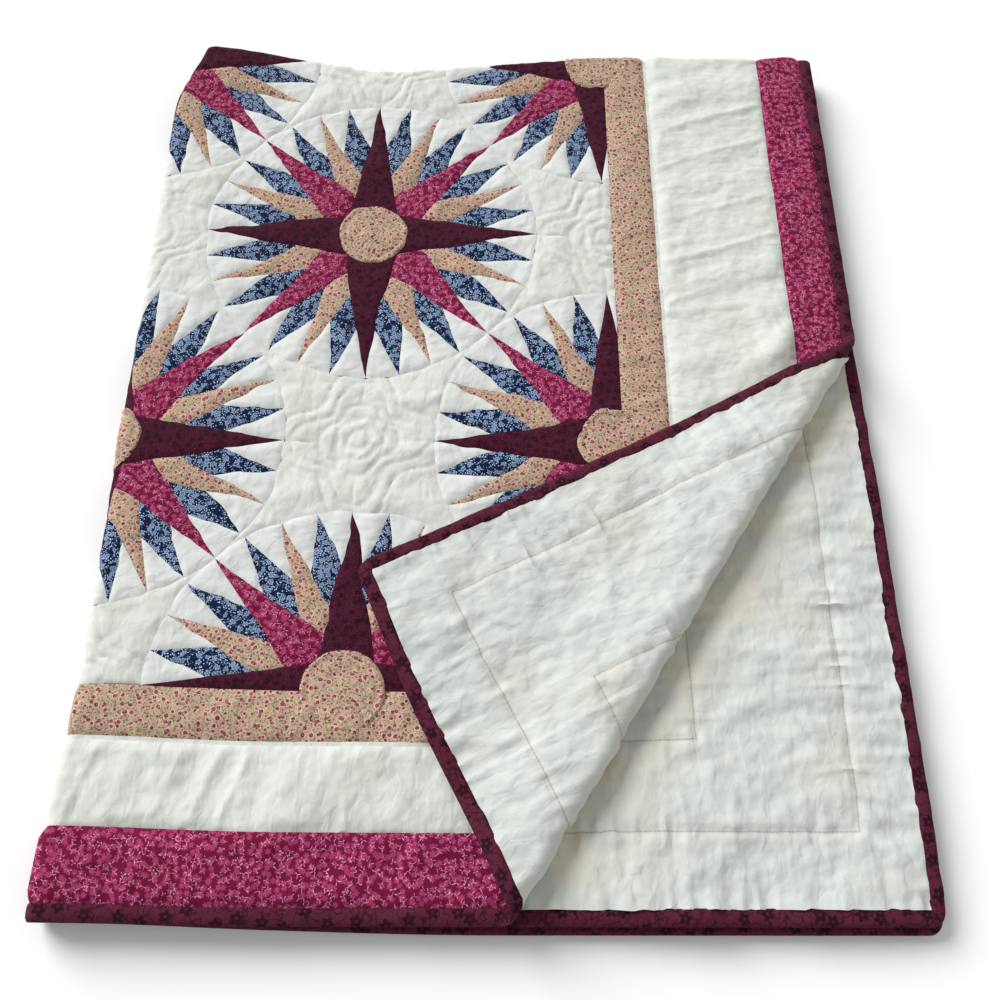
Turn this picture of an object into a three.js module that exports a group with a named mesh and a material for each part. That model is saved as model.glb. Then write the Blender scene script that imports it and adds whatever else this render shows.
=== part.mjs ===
// A pieced star quilt, folded in quarters and laid flat, with its upper quarter's near corner turned back.
// Millimetres, +Z up. Seen from above with +Y at the top, one fold runs down the left and one along the top.
// Every piece is drawn on the open quilt, where u runs right and v runs towards the reader from its middle,
// and is then carried to its folded place. n is the height over the middle of the quilt's thickness,
// positive towards the pieced face.
import * as THREE from "three";

// The pieced top, measured on the open quilt from its middle
const STAR_RADIUS = 203;
const CELL = STAR_RADIUS * Math.SQRT2; // stars stand on every other corner of a grid of this pitch
const CELLS_ACROSS = 2; // from the middle to the first border
const CELLS_DOWN = 3;
const SIDE_BORDERS = { inner: 64, middle: 155, outer: 60 };
const END_BORDERS = { inner: 52, middle: 86, outer: 68 };
const BINDING_WIDTH = 15;

// The compass stars: how far each kind of ray's straight side opens for each millimetre back from its tip
const RAY_SLOPES = { long: 0.175, broad: 0.18, narrow: 0.155, thin: 0.25 };
const DISC_RADIUS = 0.21 * STAR_RADIUS;
const RIDGE_RADIUS = 0.5 * STAR_RADIUS; // a raised point on a long ray
const GROUND_RADIUS = 0.5 * (CELL + STAR_RADIUS); // a point between a star's tip and the next empty corner
const GROUND_DIP = 45; // the quilted middle of the plain ground lies this far in from the empty corner

// The quilt's thickness, as heights over its middle
const CROWN = 3;
const SEAM = 1.8;
const PARTING = 0.15; // half the gap between the pieced top and the backing
const BACK = -2.9;
const BACK_SEAM = -2.2;
const PIECE_GAP = 0.4;
const BINDING_GAP = 0.6;

// The folds
const LAYER_PITCH = 7.6;
const BEND = LAYER_PITCH / 2;
const SIDE_BEND = 2 * BEND;
const OUTER_BEND = 3 * BEND;
const FOLD_SWELL = { side: 0.25, top: 0.2, width: 60 }; // how the stack thickens at its folds
const LOWER_SLIP = 7; // the lower two layers show this far past the upper ones at the near edge

// The near edge is drawn in a little, and more so by the side fold
const NEAR_DRAW = { from: 600, to: 1000, by: 7.5 };
const SIDE_DRAW = { from: 600, to: 800, width: 220, by: 6, fades: [950, 1250] };

// The turned corner: its crease runs between two points of the upper quarter's plan. Past the bend the
// cloth slopes down to lie settled over the layer below, a little drawn together across the crease
// and slid along it.
const CREASE = {
  foot: [450.7, -1064.5],
  head: [838.5, -462],
  bend: 11,
  slope: 110,
  settled: 8.6,
  ease: 0.96,
  slide: 16.8,
  slideRun: 220,
};
const CREASE_TURN = Math.PI * CREASE.bend;

// Soft swells of the cloth that shows, on the plan of the folded quilt
const UPPER_SWELLS = [
  { x: 700, y: -150, turn: 80, length: 220, width: 75, height: 3.2 },
  { x: 705, y: -420, turn: 15, length: 120, width: 70, height: 3.6 },
  { x: 290, y: -570, turn: 5, length: 190, width: 80, height: 2.6 },
  { x: 120, y: -350, turn: 70, length: 170, width: 75, height: 2.2 },
  { x: 480, y: -300, turn: 60, length: 160, width: 80, height: 2.4 },
  { x: 200, y: -960, turn: 20, length: 180, width: 70, height: 3.0 },
  { x: 480, y: -760, turn: 35, length: 150, width: 75, height: 3.4 },
  { x: 560, y: -610, turn: 120, length: 120, width: 70, height: 2.6 },
  { x: 330, y: -60, turn: 95, length: 120, width: 75, height: 2.0 },
];
const LOWER_SWELLS = [
  { x: 800, y: -640, turn: 5, length: 120, width: 62, height: 3.0 },
  { x: 745, y: -830, turn: 140, length: 150, width: 64, height: 3.6 },
  { x: 640, y: -1000, turn: 20, length: 150, width: 60, height: 2.8 },
  { x: 800, y: -980, turn: 60, length: 110, width: 62, height: 2.6 },
];

const FIELD_U = CELLS_ACROSS * CELL;
const FIELD_V = CELLS_DOWN * CELL;
const BODY_U = FIELD_U + SIDE_BORDERS.inner + SIDE_BORDERS.middle + SIDE_BORDERS.outer;
const BODY_V = FIELD_V + END_BORDERS.inner + END_BORDERS.middle + END_BORDERS.outer;
const HALF_WIDTH = BODY_U + BINDING_WIDTH;
const HALF_LENGTH = BODY_V + BINDING_WIDTH;

// The folds run a little unevenly: how far right of the quilt's middle the left one lies, going down from
// the top, and how far below the middle the top one lies, going right from the left
const CORNER_RUN = 60;
const SIDE_FOLD = [
  { at: -20, shift: 48 },
  { at: CORNER_RUN, shift: 12 },
  { at: 850, shift: 14 },
  { at: HALF_LENGTH, shift: 1 },
];
const TOP_FOLD = [
  { at: 0, shift: -17 },
  { at: CELL / 3, shift: -17 },
  { at: CELL, shift: 20 },
  { at: 2 * CELL, shift: -13 },
  { at: HALF_WIDTH, shift: -17 },
];
const BASE = CROWN; // the middle of the lowest layer over the floor
const CENTRE = { x: 430.3, y: -530 }; // the middle of the folded quilt's plan
const QUARTER_TURN = Math.PI / 2;
const TINY = 1e-3;
const ON_LINE = 0.08; // a point this near to a line counts as on it
const KEYS_PER_MM = 50; // points nearer than this are one

const COLOURS = {
  cream: { color: 0xe6e2d6, roughness: 0.9 },
  peach: { color: 0xc99a7c, roughness: 0.85 },
  crimson: { color: 0x8c2350, roughness: 0.85 },
  burgundy: { color: 0x4e1c33, roughness: 0.85 },
  backing: { color: 0xebe9df, roughness: 0.92 },
};

const smooth = (low, high, x) => THREE.MathUtils.smoothstep(x, low, high);
const bell = (x, middle, width) => Math.exp(-(((x - middle) / width) ** 2));
const even = (count, low, high) =>
  Array.from({ length: count }, (_, i) => low + ((high - low) * i) / (count - 1));

function foldShift(fold, at) {
  const next = fold.findIndex((stop, i) => i > 0 && (at < stop.at || i === fold.length - 1));
  const [from, to] = [fold[next - 1], fold[next]];
  return from.shift + ((at - from.at) * (to.shift - from.shift)) / (to.at - from.at);
}

function swellHeight(swells, x, y) {
  let height = 0;
  for (const swell of swells) {
    const turn = THREE.MathUtils.degToRad(swell.turn);
    const along = (x - swell.x) * Math.cos(turn) + (y - swell.y) * Math.sin(turn);
    const across = (y - swell.y) * Math.cos(turn) - (x - swell.x) * Math.sin(turn);
    height += swell.height * bell(along, 0, swell.length) * bell(across, 0, swell.width);
  }
  return height;
}

const creaseRun = new THREE.Vector2(...CREASE.head).sub(new THREE.Vector2(...CREASE.foot)).normalize();
const creaseOut = new THREE.Vector2(creaseRun.y, -creaseRun.x);

// How far a plan point lies past the line where the turned corner starts to lift
function pastCrease(x, y) {
  return (x - CREASE.foot[0]) * creaseOut.x + (y - CREASE.foot[1]) * creaseOut.y + CREASE.bend;
}

// The folded stack before the corner is turned: the plan place, the height, and how far past each fold it is
function drawnUp(a, b) {
  const side = SIDE_DRAW.by * (1 - smooth(0, SIDE_DRAW.width, a)) * (1 - smooth(...SIDE_DRAW.fades, b));
  const near = NEAR_DRAW.by * smooth(NEAR_DRAW.from, NEAR_DRAW.to, b);
  return near + side * smooth(SIDE_DRAW.from, SIDE_DRAW.to, b);
}

function stackPlace(u, v) {
  const topFold = foldShift(TOP_FOLD, Math.abs(u));
  const down = v - topFold;
  const topTurn = BEND * QUARTER_TURN;
  let b = topFold;
  let rise = BEND * Math.sign(down);
  if (Math.abs(down) < topTurn) {
    b += BEND * (1 - Math.cos(down / BEND));
    rise = BEND * Math.sin(down / BEND);
  } else {
    const reach = HALF_LENGTH - topFold - topTurn;
    const have = HALF_LENGTH - Math.sign(down) * topFold - topTurn;
    b += BEND + ((Math.abs(down) - topTurn) * reach) / have;
  }
  const sideFold = foldShift(SIDE_FOLD, b);
  const right = u - sideFold;
  const radius = SIDE_BEND + rise;
  const sideTurn = radius * QUARTER_TURN;
  let a = OUTER_BEND;
  let height = radius * Math.sign(right);
  if (Math.abs(right) < sideTurn) {
    a -= radius * Math.cos(right / radius);
    height = radius * Math.sin(right / radius);
  } else {
    const reach = HALF_WIDTH - sideFold - OUTER_BEND * QUARTER_TURN;
    const have = HALF_WIDTH - Math.sign(right) * sideFold - sideTurn;
    a += ((Math.abs(right) - sideTurn) * reach) / have;
  }
  const sideSwell = FOLD_SWELL.side * bell(a, 0, FOLD_SWELL.width);
  const topSwell = FOLD_SWELL.top * bell(b, topFold, FOLD_SWELL.width);
  const slip = right < 0 ? LOWER_SLIP * smooth(FOLD_SWELL.width, HALF_WIDTH / 2, a) : 0;
  return {
    x: sideFold + a,
    y: drawnUp(a, b) - b - slip,
    z: BASE + (OUTER_BEND + height) * (1 + sideSwell + topSwell),
    right,
    down,
    isUpper: down > topTurn && right > sideTurn,
    isSecond: down < -topTurn && right > sideTurn,
    fromFolds: Math.min(Math.abs(down) - topTurn, Math.abs(right) - sideTurn),
  };
}

// What the turned corner adds to a plan point this far past the line where it starts to lift:
// its move across the crease, its slide back along it, and its rise
function turnedBy(past) {
  if (past < 0) return { move: 0, slide: 0, rise: 0 };
  if (past < CREASE_TURN) {
    const angle = past / CREASE.bend;
    const rise = CREASE.bend * (1 - Math.cos(angle));
    return { move: CREASE.bend * Math.sin(angle) - past, slide: 0, rise };
  }
  const over = past - CREASE_TURN;
  const fall = (2 * CREASE.bend - CREASE.settled) * smooth(0, CREASE.slope, over);
  const slide = CREASE.slide * smooth(0, CREASE.slideRun, over);
  return { move: -over * CREASE.ease - past, slide, rise: 2 * CREASE.bend - fall };
}

// The middle of the quilt's thickness at a point of the open quilt, in its folded place
function middle(u, v) {
  const at = stackPlace(u, v);
  let { x, y, z } = at;
  const past = pastCrease(x, y);
  if (at.isUpper) {
    const { move, slide, rise } = turnedBy(past);
    x += move * creaseOut.x - slide * creaseRun.x;
    y += move * creaseOut.y - slide * creaseRun.y;
    z += rise + swellHeight(UPPER_SWELLS, x, y) * smooth(0, FOLD_SWELL.width, at.fromFolds);
  } else if (at.isSecond) {
    z += swellHeight(LOWER_SWELLS, x, y) * smooth(CREASE.bend, FOLD_SWELL.width, past);
  }
  return new THREE.Vector3(x - CENTRE.x, y - CENTRE.y, z);
}

// A point at height n over the middle of the quilt's thickness
function place(u, v, n) {
  const step = 0.4;
  const across = middle(u + step, v).sub(middle(u - step, v));
  const up = middle(u, v - step).sub(middle(u, v + step));
  return middle(u, v).addScaledVector(across.cross(up).normalize(), n);
}

// A net of triangles on the open quilt; points at the same u and v are one point
class Net {
  points = [];
  faces = [];
  known = new Map();

  point(u, v, n) {
    const key = `${Math.round(u * KEYS_PER_MM)},${Math.round(v * KEYS_PER_MM)}`;
    if (!this.known.has(key)) {
      this.known.set(key, this.points.length);
      this.points.push([u, v, n]);
    }
    return this.known.get(key);
  }

  // Faces turn anticlockwise seen from the pieced side, where v runs downwards
  face(a, b, c) {
    if (a === b || b === c || c === a) return;
    const [p, q, r] = [this.points[a], this.points[b], this.points[c]];
    const turn = (q[0] - p[0]) * (p[1] - r[1]) - (r[0] - p[0]) * (p[1] - q[1]);
    this.faces.push(turn > 0 ? [a, b, c] : [a, c, b]);
  }

  // A patch puffed up in its middle: a fan round one point, by way of a ring where ringHeight is given
  patch(outline, centre, centreHeight, ringHeight) {
    const middlePoint = this.point(centre[0], centre[1], centreHeight);
    const rim = outline.map((p) => this.point(...p));
    const isRinged = ringHeight !== undefined;
    const ring = isRinged
      ? outline.map((p) => this.point((p[0] + centre[0]) / 2, (p[1] + centre[1]) / 2, ringHeight))
      : rim;
    for (let i = 0; i < rim.length; i++) {
      const next = (i + 1) % rim.length;
      this.face(middlePoint, ring[i], ring[next]);
      if (isRinged) {
        this.face(ring[i], rim[i], rim[next]);
        this.face(ring[i], rim[next], ring[next]);
      }
    }
  }

  // Cuts every face that the line crosses, where lineAt is the signed distance from it
  cut(lineAt) {
    const faces = this.faces;
    this.faces = [];
    const at = this.points.map((p) => {
      const distance = lineAt(p[0], p[1]);
      return Math.abs(distance) < ON_LINE ? 0 : distance;
    });
    const crossing = (i, j) => {
      const [a, b] = i < j ? [i, j] : [j, i];
      const t = at[a] / (at[a] - at[b]);
      const [p, q] = [this.points[a], this.points[b]];
      return this.point(p[0] + (q[0] - p[0]) * t, p[1] + (q[1] - p[1]) * t, p[2] + (q[2] - p[2]) * t);
    };
    for (const [a, b, c] of faces) {
      const isApex = ([i, j, k]) => at[i] * at[j] < 0 && at[i] * at[k] <= 0;
      const turned = [[a, b, c], [b, c, a], [c, a, b]].find(isApex);
      if (!turned) {
        this.faces.push([a, b, c]);
        continue;
      }
      const [i, j, k] = turned;
      const first = crossing(i, j);
      if (at[k] === 0) {
        this.face(i, first, k);
        this.face(first, j, k);
      } else {
        const second = crossing(i, k);
        this.face(i, first, second);
        this.face(first, j, k);
        this.face(first, k, second);
      }
    }
    return this;
  }

  // The net's rim as one closed run of point numbers
  rim() {
    const next = new Map();
    const edges = new Set(this.faces.flatMap(([a, b, c]) => [`${a},${b}`, `${b},${c}`, `${c},${a}`]));
    for (const edge of edges) {
      const [a, b] = edge.split(",").map(Number);
      if (!edges.has(`${b},${a}`)) next.set(a, b);
    }
    const start = [...next.keys()].reduce((best, i) => {
      const [p, q] = [this.points[i], this.points[best]];
      return p[0] + p[1] < q[0] + q[1] ? i : best;
    });
    const run = [start];
    for (let i = next.get(start); i !== start; i = next.get(i)) run.push(i);
    return run;
  }
}

// The lines that every net is cut along, so that it bends round the folds and the crease
const FOLD_CUTS = 5;
const SLOPE_CUT = 0.45 * CREASE.slope; // a last cut, part of the way down the turned corner's slope
const cutsAcross = (bend) => even(FOLD_CUTS, -bend * QUARTER_TURN, bend * QUARTER_TURN);
const foldLines = [
  ...cutsAcross(OUTER_BEND).map((shift) => (u, v) => stackPlace(u, v).right - shift),
  ...cutsAcross(BEND).map((shift) => (u, v) => stackPlace(u, v).down - shift),
  ...[...even(FOLD_CUTS, 0, CREASE_TURN), CREASE_TURN + SLOPE_CUT].map((shift) => (u, v) => {
    const at = stackPlace(u, v);
    return at.isUpper ? pastCrease(at.x, at.y) - shift : -1;
  }),
];

function bendable(net) {
  for (const lineAt of foldLines) net.cut(lineAt);
  return net;
}

// A rectangle of the open quilt as a net; shape gives each point's height
function gridNet(uLines, vLines, shape) {
  const net = new Net();
  for (let i = 0; i + 1 < uLines.length; i++) {
    for (let j = 0; j + 1 < vLines.length; j++) {
      const corner = (right, down) => {
        const [u, v] = [uLines[i + right], vLines[j + down]];
        return net.point(u, v, shape(u, v));
      };
      net.face(corner(0, 0), corner(1, 0), corner(1, 1));
      net.face(corner(0, 0), corner(1, 1), corner(0, 1));
    }
  }
  return bendable(net);
}

function closedGeometry(positions, indices) {
  const geometry = new THREE.BufferGeometry();
  geometry.setAttribute("position", new THREE.Float32BufferAttribute(positions, 3));
  geometry.setIndex(indices);
  geometry.computeVertexNormals();
  return geometry;
}

// Closed solid between an upper and a lower net with the same outline
function solidBetween(upperNet, lowerNet) {
  const positions = [];
  const indices = [];
  const addPoints = (net) => {
    const first = positions.length / 3;
    for (const p of net.points) positions.push(...place(...p).toArray());
    return first;
  };
  const upperFirst = addPoints(upperNet);
  const lowerFirst = addPoints(lowerNet);
  for (const [a, b, c] of upperNet.faces) indices.push(upperFirst + a, upperFirst + b, upperFirst + c);
  for (const [a, b, c] of lowerNet.faces) indices.push(lowerFirst + a, lowerFirst + c, lowerFirst + b);
  const measured = (net) => {
    const run = net.rim();
    let length = 0;
    return [...run, run[0]].map((point, i, all) => {
      if (i > 0) {
        const [p, q] = [net.points[all[i - 1]], net.points[point]];
        length += Math.hypot(q[0] - p[0], q[1] - p[1]);
      }
      return { point, length };
    });
  };
  const above = measured(upperNet);
  const below = measured(lowerNet);
  // Level points are joined corner to corner the same way whichever piece the wall belongs to
  const isUpperNext = (i, j) => {
    if (i + 1 >= above.length || j + 1 >= below.length) return i + 1 < above.length;
    const ahead = below[j + 1].length - above[i + 1].length;
    const [here, there] = [upperNet.points[above[i].point], upperNet.points[above[i + 1].point]];
    return Math.abs(ahead) < 0.5 ? there[0] + there[1] > here[0] + here[1] : ahead > 0;
  };
  let i = 0;
  let j = 0;
  while (i + 1 < above.length || j + 1 < below.length) {
    if (isUpperNext(i, j)) {
      indices.push(upperFirst + above[i].point, lowerFirst + below[j].point, upperFirst + above[i + 1].point);
      i++;
    } else {
      indices.push(upperFirst + above[i].point, lowerFirst + below[j].point, lowerFirst + below[j + 1].point);
      j++;
    }
  }
  return closedGeometry(positions, indices);
}

function piece(name, geometry, look) {
  const mesh = new THREE.Mesh(geometry, new THREE.MeshStandardMaterial({ ...look, metalness: 0 }));
  mesh.name = name;
  return mesh;
}

// Lines of the nets across the whole quilt, coarse where the cloth is hidden
const LINES_PER_CELL = 3;
const BORDER_STEP = 80;
const seamsU = [FIELD_U, FIELD_U + SIDE_BORDERS.inner, BODY_U - SIDE_BORDERS.outer, BODY_U];
const seamsV = [FIELD_V, FIELD_V + END_BORDERS.inner, BODY_V - END_BORDERS.outer, BODY_V];
const cornerLines = [-CORNER_RUN + 2 * TOP_FOLD[0].shift, CORNER_RUN];
function linesAlong(cells, seams, extra) {
  const hidden = [...seams.slice(1).map((seam) => -seam), ...even(cells + 1, -cells * CELL, 0)];
  const shown = even(cells * LINES_PER_CELL + 1, 0, cells * CELL).slice(1);
  const border = seams.slice(1).flatMap((high, i) => {
    const count = Math.max(1, Math.round((high - seams[i]) / BORDER_STEP));
    return even(count + 1, seams[i], high).slice(1);
  });
  return [...hidden, ...shown, ...border, ...extra].sort((p, q) => p - q);
}
const linesU = linesAlong(CELLS_ACROSS, seamsU, []);
const linesV = linesAlong(CELLS_DOWN, seamsV, cornerLines);

// One quarter of a compass star, as patches in polar places: radius, and angle in degrees from the first side
function starQuarter() {
  const polar = (r, degrees) => {
    const angle = THREE.MathUtils.degToRad(degrees);
    return [r * Math.cos(angle), r * Math.sin(angle), SEAM];
  };
  // Where the sides of two rays cross, between the rays' own directions
  const crossing = (lowDegrees, lowSlope, highDegrees, highSlope) => {
    const [low, high] = [lowDegrees, highDegrees].map(THREE.MathUtils.degToRad);
    const side = (angle, slope, turn) => new THREE.Vector2(
      Math.cos(angle) * slope - Math.sin(angle) * turn,
      Math.sin(angle) * slope + Math.cos(angle) * turn,
    );
    const lowSide = side(low, lowSlope, 1);
    const highSide = side(high, highSlope, -1);
    const cross = lowSide.x * highSide.y - lowSide.y * highSide.x;
    const x = (lowSlope * highSide.y - highSlope * lowSide.y) / cross;
    const y = (highSlope * lowSide.x - lowSlope * highSide.x) / cross;
    return [x * STAR_RADIUS, y * STAR_RADIUS, SEAM];
  };
  const { long, broad, narrow, thin } = RAY_SLOPES;
  const disc = [0, 22.5, 45, 67.5, 90].map((angle) => polar(DISC_RADIUS, angle));
  const tip = (angle) => polar(STAR_RADIUS, angle);
  const half = {
    broadFoot: crossing(0, long, 45, broad),
    narrowLow: crossing(0, long, 22.5, narrow),
    narrowHigh: crossing(22.5, narrow, 45, broad),
    thinLow: crossing(0, long, 11.25, thin),
    thinInner: crossing(11.25, thin, 22.5, narrow),
    thinOuter: crossing(22.5, narrow, 33.75, thin),
    thinHigh: crossing(33.75, thin, 45, broad),
  };
  const other = Object.fromEntries(Object.entries(half).map(([name, p]) => [name, [p[1], p[0], SEAM]]));
  const ridge = [RIDGE_RADIUS, 0, CROWN];
  const flip = (p) => [p[1], p[0], p[2]];
  const longRay = [disc[0], disc[1], disc[2], half.broadFoot, half.narrowLow, half.thinLow, tip(0), ridge];
  const lowHalf = [
    [half.broadFoot, half.narrowLow, half.thinInner, tip(22.5), half.thinOuter, half.narrowHigh],
    [half.narrowLow, half.thinLow, tip(11.25), half.thinInner],
    [half.narrowHigh, half.thinOuter, tip(33.75), half.thinHigh],
    [half.thinLow, tip(0), tip(11.25)],
    [half.thinInner, tip(11.25), tip(22.5)],
    [half.thinOuter, tip(22.5), tip(33.75)],
    [half.thinHigh, tip(33.75), tip(45)],
    longRay,
  ];
  const broadRay = [
    ...[disc[2], half.broadFoot, half.narrowHigh, half.thinHigh, tip(45)],
    ...[other.thinHigh, other.narrowHigh, other.broadFoot],
  ];
  const centreDisc = [[0, 0, CROWN], ...disc];
  return [...lowHalf, ...lowHalf.map((outline) => outline.map(flip)), broadRay, centreDisc];
}

// Points on the side of a grid square, from a star's middle to the next empty corner
const STAR_SIDE = [
  { from: 0, n: CROWN },
  { from: DISC_RADIUS, n: SEAM },
  { from: RIDGE_RADIUS, n: CROWN },
  { from: STAR_RADIUS, n: SEAM },
  { from: GROUND_RADIUS, n: CROWN },
];

// The plain ground outside two neighbouring stars, at the empty corner of a grid square
function groundCorner() {
  const arc = (fromCentre, start, step) =>
    Array.from({ length: 5 }, (_, i) => {
      const angle = THREE.MathUtils.degToRad(start + step * i);
      const [du, dv] = [STAR_RADIUS * Math.cos(angle), STAR_RADIUS * Math.sin(angle)];
      return [fromCentre[0] + du, fromCentre[1] + dv, SEAM];
    });
  return [
    ...arc([CELL, CELL], -90, -11.25),
    ...arc([0, 0], 45, -11.25).slice(1),
    [GROUND_RADIUS, 0, CROWN],
    [CELL, 0, CROWN],
    [CELL, CELL - GROUND_RADIUS, CROWN],
  ];
}

// An outline with points added where the nets' lines meet its sides on the quilt's middle or the field's rim
function withLinePoints(outline) {
  const shared = [[0, FIELD_U], [0, FIELD_V]];
  return outline.flatMap((p, k) => {
    const q = outline[(k + 1) % outline.length];
    const isAlong = (axis, line) => [p, q].every((end) => Math.abs(end[axis] - line) < TINY);
    const isOn = (axis) => shared[axis].some((line) => isAlong(axis, line));
    const axis = [0, 1].find(isOn);
    if (axis === undefined) return [p];
    const run = 1 - axis;
    const stops = (run === 0 ? linesU : linesV).map((line) => (line - p[run]) / (q[run] - p[run]));
    const inside = stops.filter((t) => t > TINY && t < 1 - TINY).sort((s, t) => s - t);
    return [0, ...inside].map((t) => p.map((value, i) => value + (q[i] - value) * t));
  });
}

// One grid square with its patches, its star corner at (i, j) and its empty one to the right of it, or to the
// left where stepU is negative
function starCell(net, i, j, stepU) {
  const put = (p) => [i * CELL + p[0] * stepU, j * CELL + p[1], p[2]];
  const opposite = (p) => [CELL - p[0], CELL - p[1], p[2]];
  const flip = (p) => [p[1], p[0], p[2]];
  const centroid = (outline) => [0, 1].map((k) => outline.reduce((sum, p) => sum + p[k], 0) / outline.length);
  for (const outline of starQuarter()) {
    for (const turned of [outline, outline.map(opposite)]) {
      const placed = turned.map(put);
      net.patch(withLinePoints(placed), centroid(placed), CROWN);
    }
  }
  const quilted = [CELL - GROUND_DIP, GROUND_DIP, SEAM];
  for (const turn of [(p) => p, flip]) {
    net.patch(withLinePoints(groundCorner().map(turn).map(put)), put(turn(quilted)), SEAM, CROWN);
  }
}

// The stars' points along the middle of the quilt, which the hidden side's faces share
function starPointsBetween(low, high) {
  const cell = Math.floor((low + 1) / CELL);
  const isStarFirst = cell % 2 === 0;
  const alongSide = (from) => (isStarFirst ? cell * CELL + from : (cell + 1) * CELL - from);
  return STAR_SIDE.map(({ from, n }) => ({ at: alongSide(from), n }))
    .filter(({ at }) => at > low + ON_LINE && at < high - ON_LINE)
    .sort((p, q) => p.at - q.at);
}

// The hidden parts of the field, on the lines of the nets
function hiddenFace(net) {
  const inField = (lines, cells) => lines.filter((line) => Math.abs(line) < cells * CELL + ON_LINE);
  const [uLines, vLines] = [inField(linesU, CELLS_ACROSS), inField(linesV, CELLS_DOWN)];
  for (let i = 0; i + 1 < uLines.length; i++) {
    for (let j = 0; j + 1 < vLines.length; j++) {
      const [u0, u1, v0, v1] = [uLines[i], uLines[i + 1], vLines[j], vLines[j + 1]];
      const [isPastMiddle, isBelowMiddle] = [u0 > -TINY, v0 > -TINY];
      if (isPastMiddle && isBelowMiddle) continue;
      const onRight = Math.abs(u1) < TINY && isBelowMiddle ? starPointsBetween(v0, v1) : [];
      const onNear = Math.abs(v1) < TINY && isPastMiddle ? starPointsBetween(u0, u1).reverse() : [];
      const rim = [
        [u1, v0, CROWN],
        ...onRight.map(({ at, n }) => [0, at, n]),
        [u1, v1, CROWN],
        ...onNear.map(({ at, n }) => [at, 0, n]),
        [u0, v1, CROWN],
      ];
      const points = rim.map((p) => net.point(...p));
      const first = net.point(u0, v0, CROWN);
      for (let k = 0; k + 1 < points.length; k++) net.face(first, points[k], points[k + 1]);
    }
  }
}

function fieldFace() {
  const net = new Net();
  for (let i = 0; i < CELLS_ACROSS; i++) {
    for (let j = 0; j < CELLS_DOWN; j++) {
      if ((i + j) % 2 === 0) starCell(net, i, j, 1);
      else starCell(net, i + 1, j, -1);
    }
  }
  hiddenFace(net);
  return net;
}

// The outermost points of the field are drawn in by half the gap to the borders
function drawnIn(net) {
  for (const p of net.points) {
    p[0] = THREE.MathUtils.clamp(p[0], -FIELD_U + PIECE_GAP / 2, FIELD_U - PIECE_GAP / 2);
    p[1] = THREE.MathUtils.clamp(p[1], -FIELD_V + PIECE_GAP / 2, FIELD_V - PIECE_GAP / 2);
  }
  return net;
}

// The global lines inside one rectangle, whose own sides are drawn in by half the gap
function linesWithin(lines, low, high) {
  const inside = lines.filter((line) => line > low + 1 && line < high - 1);
  return [low + PIECE_GAP / 2, ...inside, high - PIECE_GAP / 2];
}

// A border strip: its edges lie low at the seams and its middle is puffed
function strip(name, [lowU, highU], [lowV, highV], look) {
  const uLines = linesWithin(linesU, lowU, highU);
  const vLines = linesWithin(linesV, lowV, highV);
  const isSide = highU - lowU < highV - lowV;
  const crest = isSide ? (lowU + highU) / 2 : (lowV + highV) / 2;
  const isOnCrest = (line) => Math.abs(line - crest) < BORDER_STEP / 6;
  const withCrest = (lines) => (lines.some(isOnCrest) ? lines : [...lines, crest].sort((p, q) => p - q));
  const [faceU, faceV] = isSide ? [withCrest(uLines), vLines] : [uLines, withCrest(vLines)];
  const isAtSeam = (u, v) =>
    isSide ? Math.min(u - lowU, highU - u) < PIECE_GAP : Math.min(v - lowV, highV - v) < PIECE_GAP;
  const isHidden = (u, v) => u < 0 || v < 0;
  const face = gridNet(faceU, faceV, (u, v) => (isAtSeam(u, v) && !isHidden(u, v) ? SEAM : CROWN));
  const under = gridNet(uLines, vLines, () => PARTING);
  return piece(name, solidBetween(face, under), look);
}

function borders() {
  const made = [];
  let [innerU, innerV] = [FIELD_U, FIELD_V];
  for (const [kind, colour] of [["inner", "peach"], ["middle", "cream"], ["outer", "crimson"]]) {
    const look = COLOURS[colour];
    const [outerU, outerV] = [innerU + SIDE_BORDERS[kind], innerV + END_BORDERS[kind]];
    made.push(
      strip(`${kind}_border_right`, [innerU, outerU], [-innerV, innerV], look),
      strip(`${kind}_border_left`, [-outerU, -innerU], [-innerV, innerV], look),
      strip(`${kind}_border_near`, [-outerU, outerU], [innerV, outerV], look),
      strip(`${kind}_border_far`, [-outerU, outerU], [-outerV, -innerV], look),
    );
    [innerU, innerV] = [outerU, outerV];
  }
  return made;
}

function field() {
  const face = bendable(drawnIn(fieldFace()));
  const [uLines, vLines] = [linesWithin(linesU, -FIELD_U, FIELD_U), linesWithin(linesV, -FIELD_V, FIELD_V)];
  const under = gridNet(uLines, vLines, () => PARTING);
  return piece("star_field", solidBetween(face, under), COLOURS.cream);
}

// The backing's outer side dips where the borders' seams are quilted through
function backing() {
  const isOnSeam = (at, seams) => seams.slice(1, 3).some((seam) => Math.abs(Math.abs(at) - seam) < PIECE_GAP);
  const isQuilted = (u, v) => isOnSeam(u, seamsU) || isOnSeam(v, seamsV);
  const uLines = linesWithin(linesU, -BODY_U, BODY_U);
  const vLines = linesWithin(linesV, -BODY_V, BODY_V);
  const inner = gridNet(uLines, vLines, () => -PARTING);
  const outer = gridNet(uLines, vLines, (u, v) => (isQuilted(u, v) ? BACK_SEAM : BACK));
  return piece("backing", solidBetween(inner, outer), COLOURS.backing);
}

// The binding: a folded strip closed round the quilt's edge, as one ring with round corners
const BINDING_PROFILE = [
  { out: 0, n: 2.7 },
  { out: 3, n: 3 },
  { out: 10, n: 2.9 },
  { out: BINDING_WIDTH, n: 0 },
  { out: 10, n: -2.9 },
  { out: 3, n: -3 },
  { out: 0, n: -2.7 },
];
const CORNER_TURNS = [0, 22.5, 45, 67.5, 90];

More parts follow.
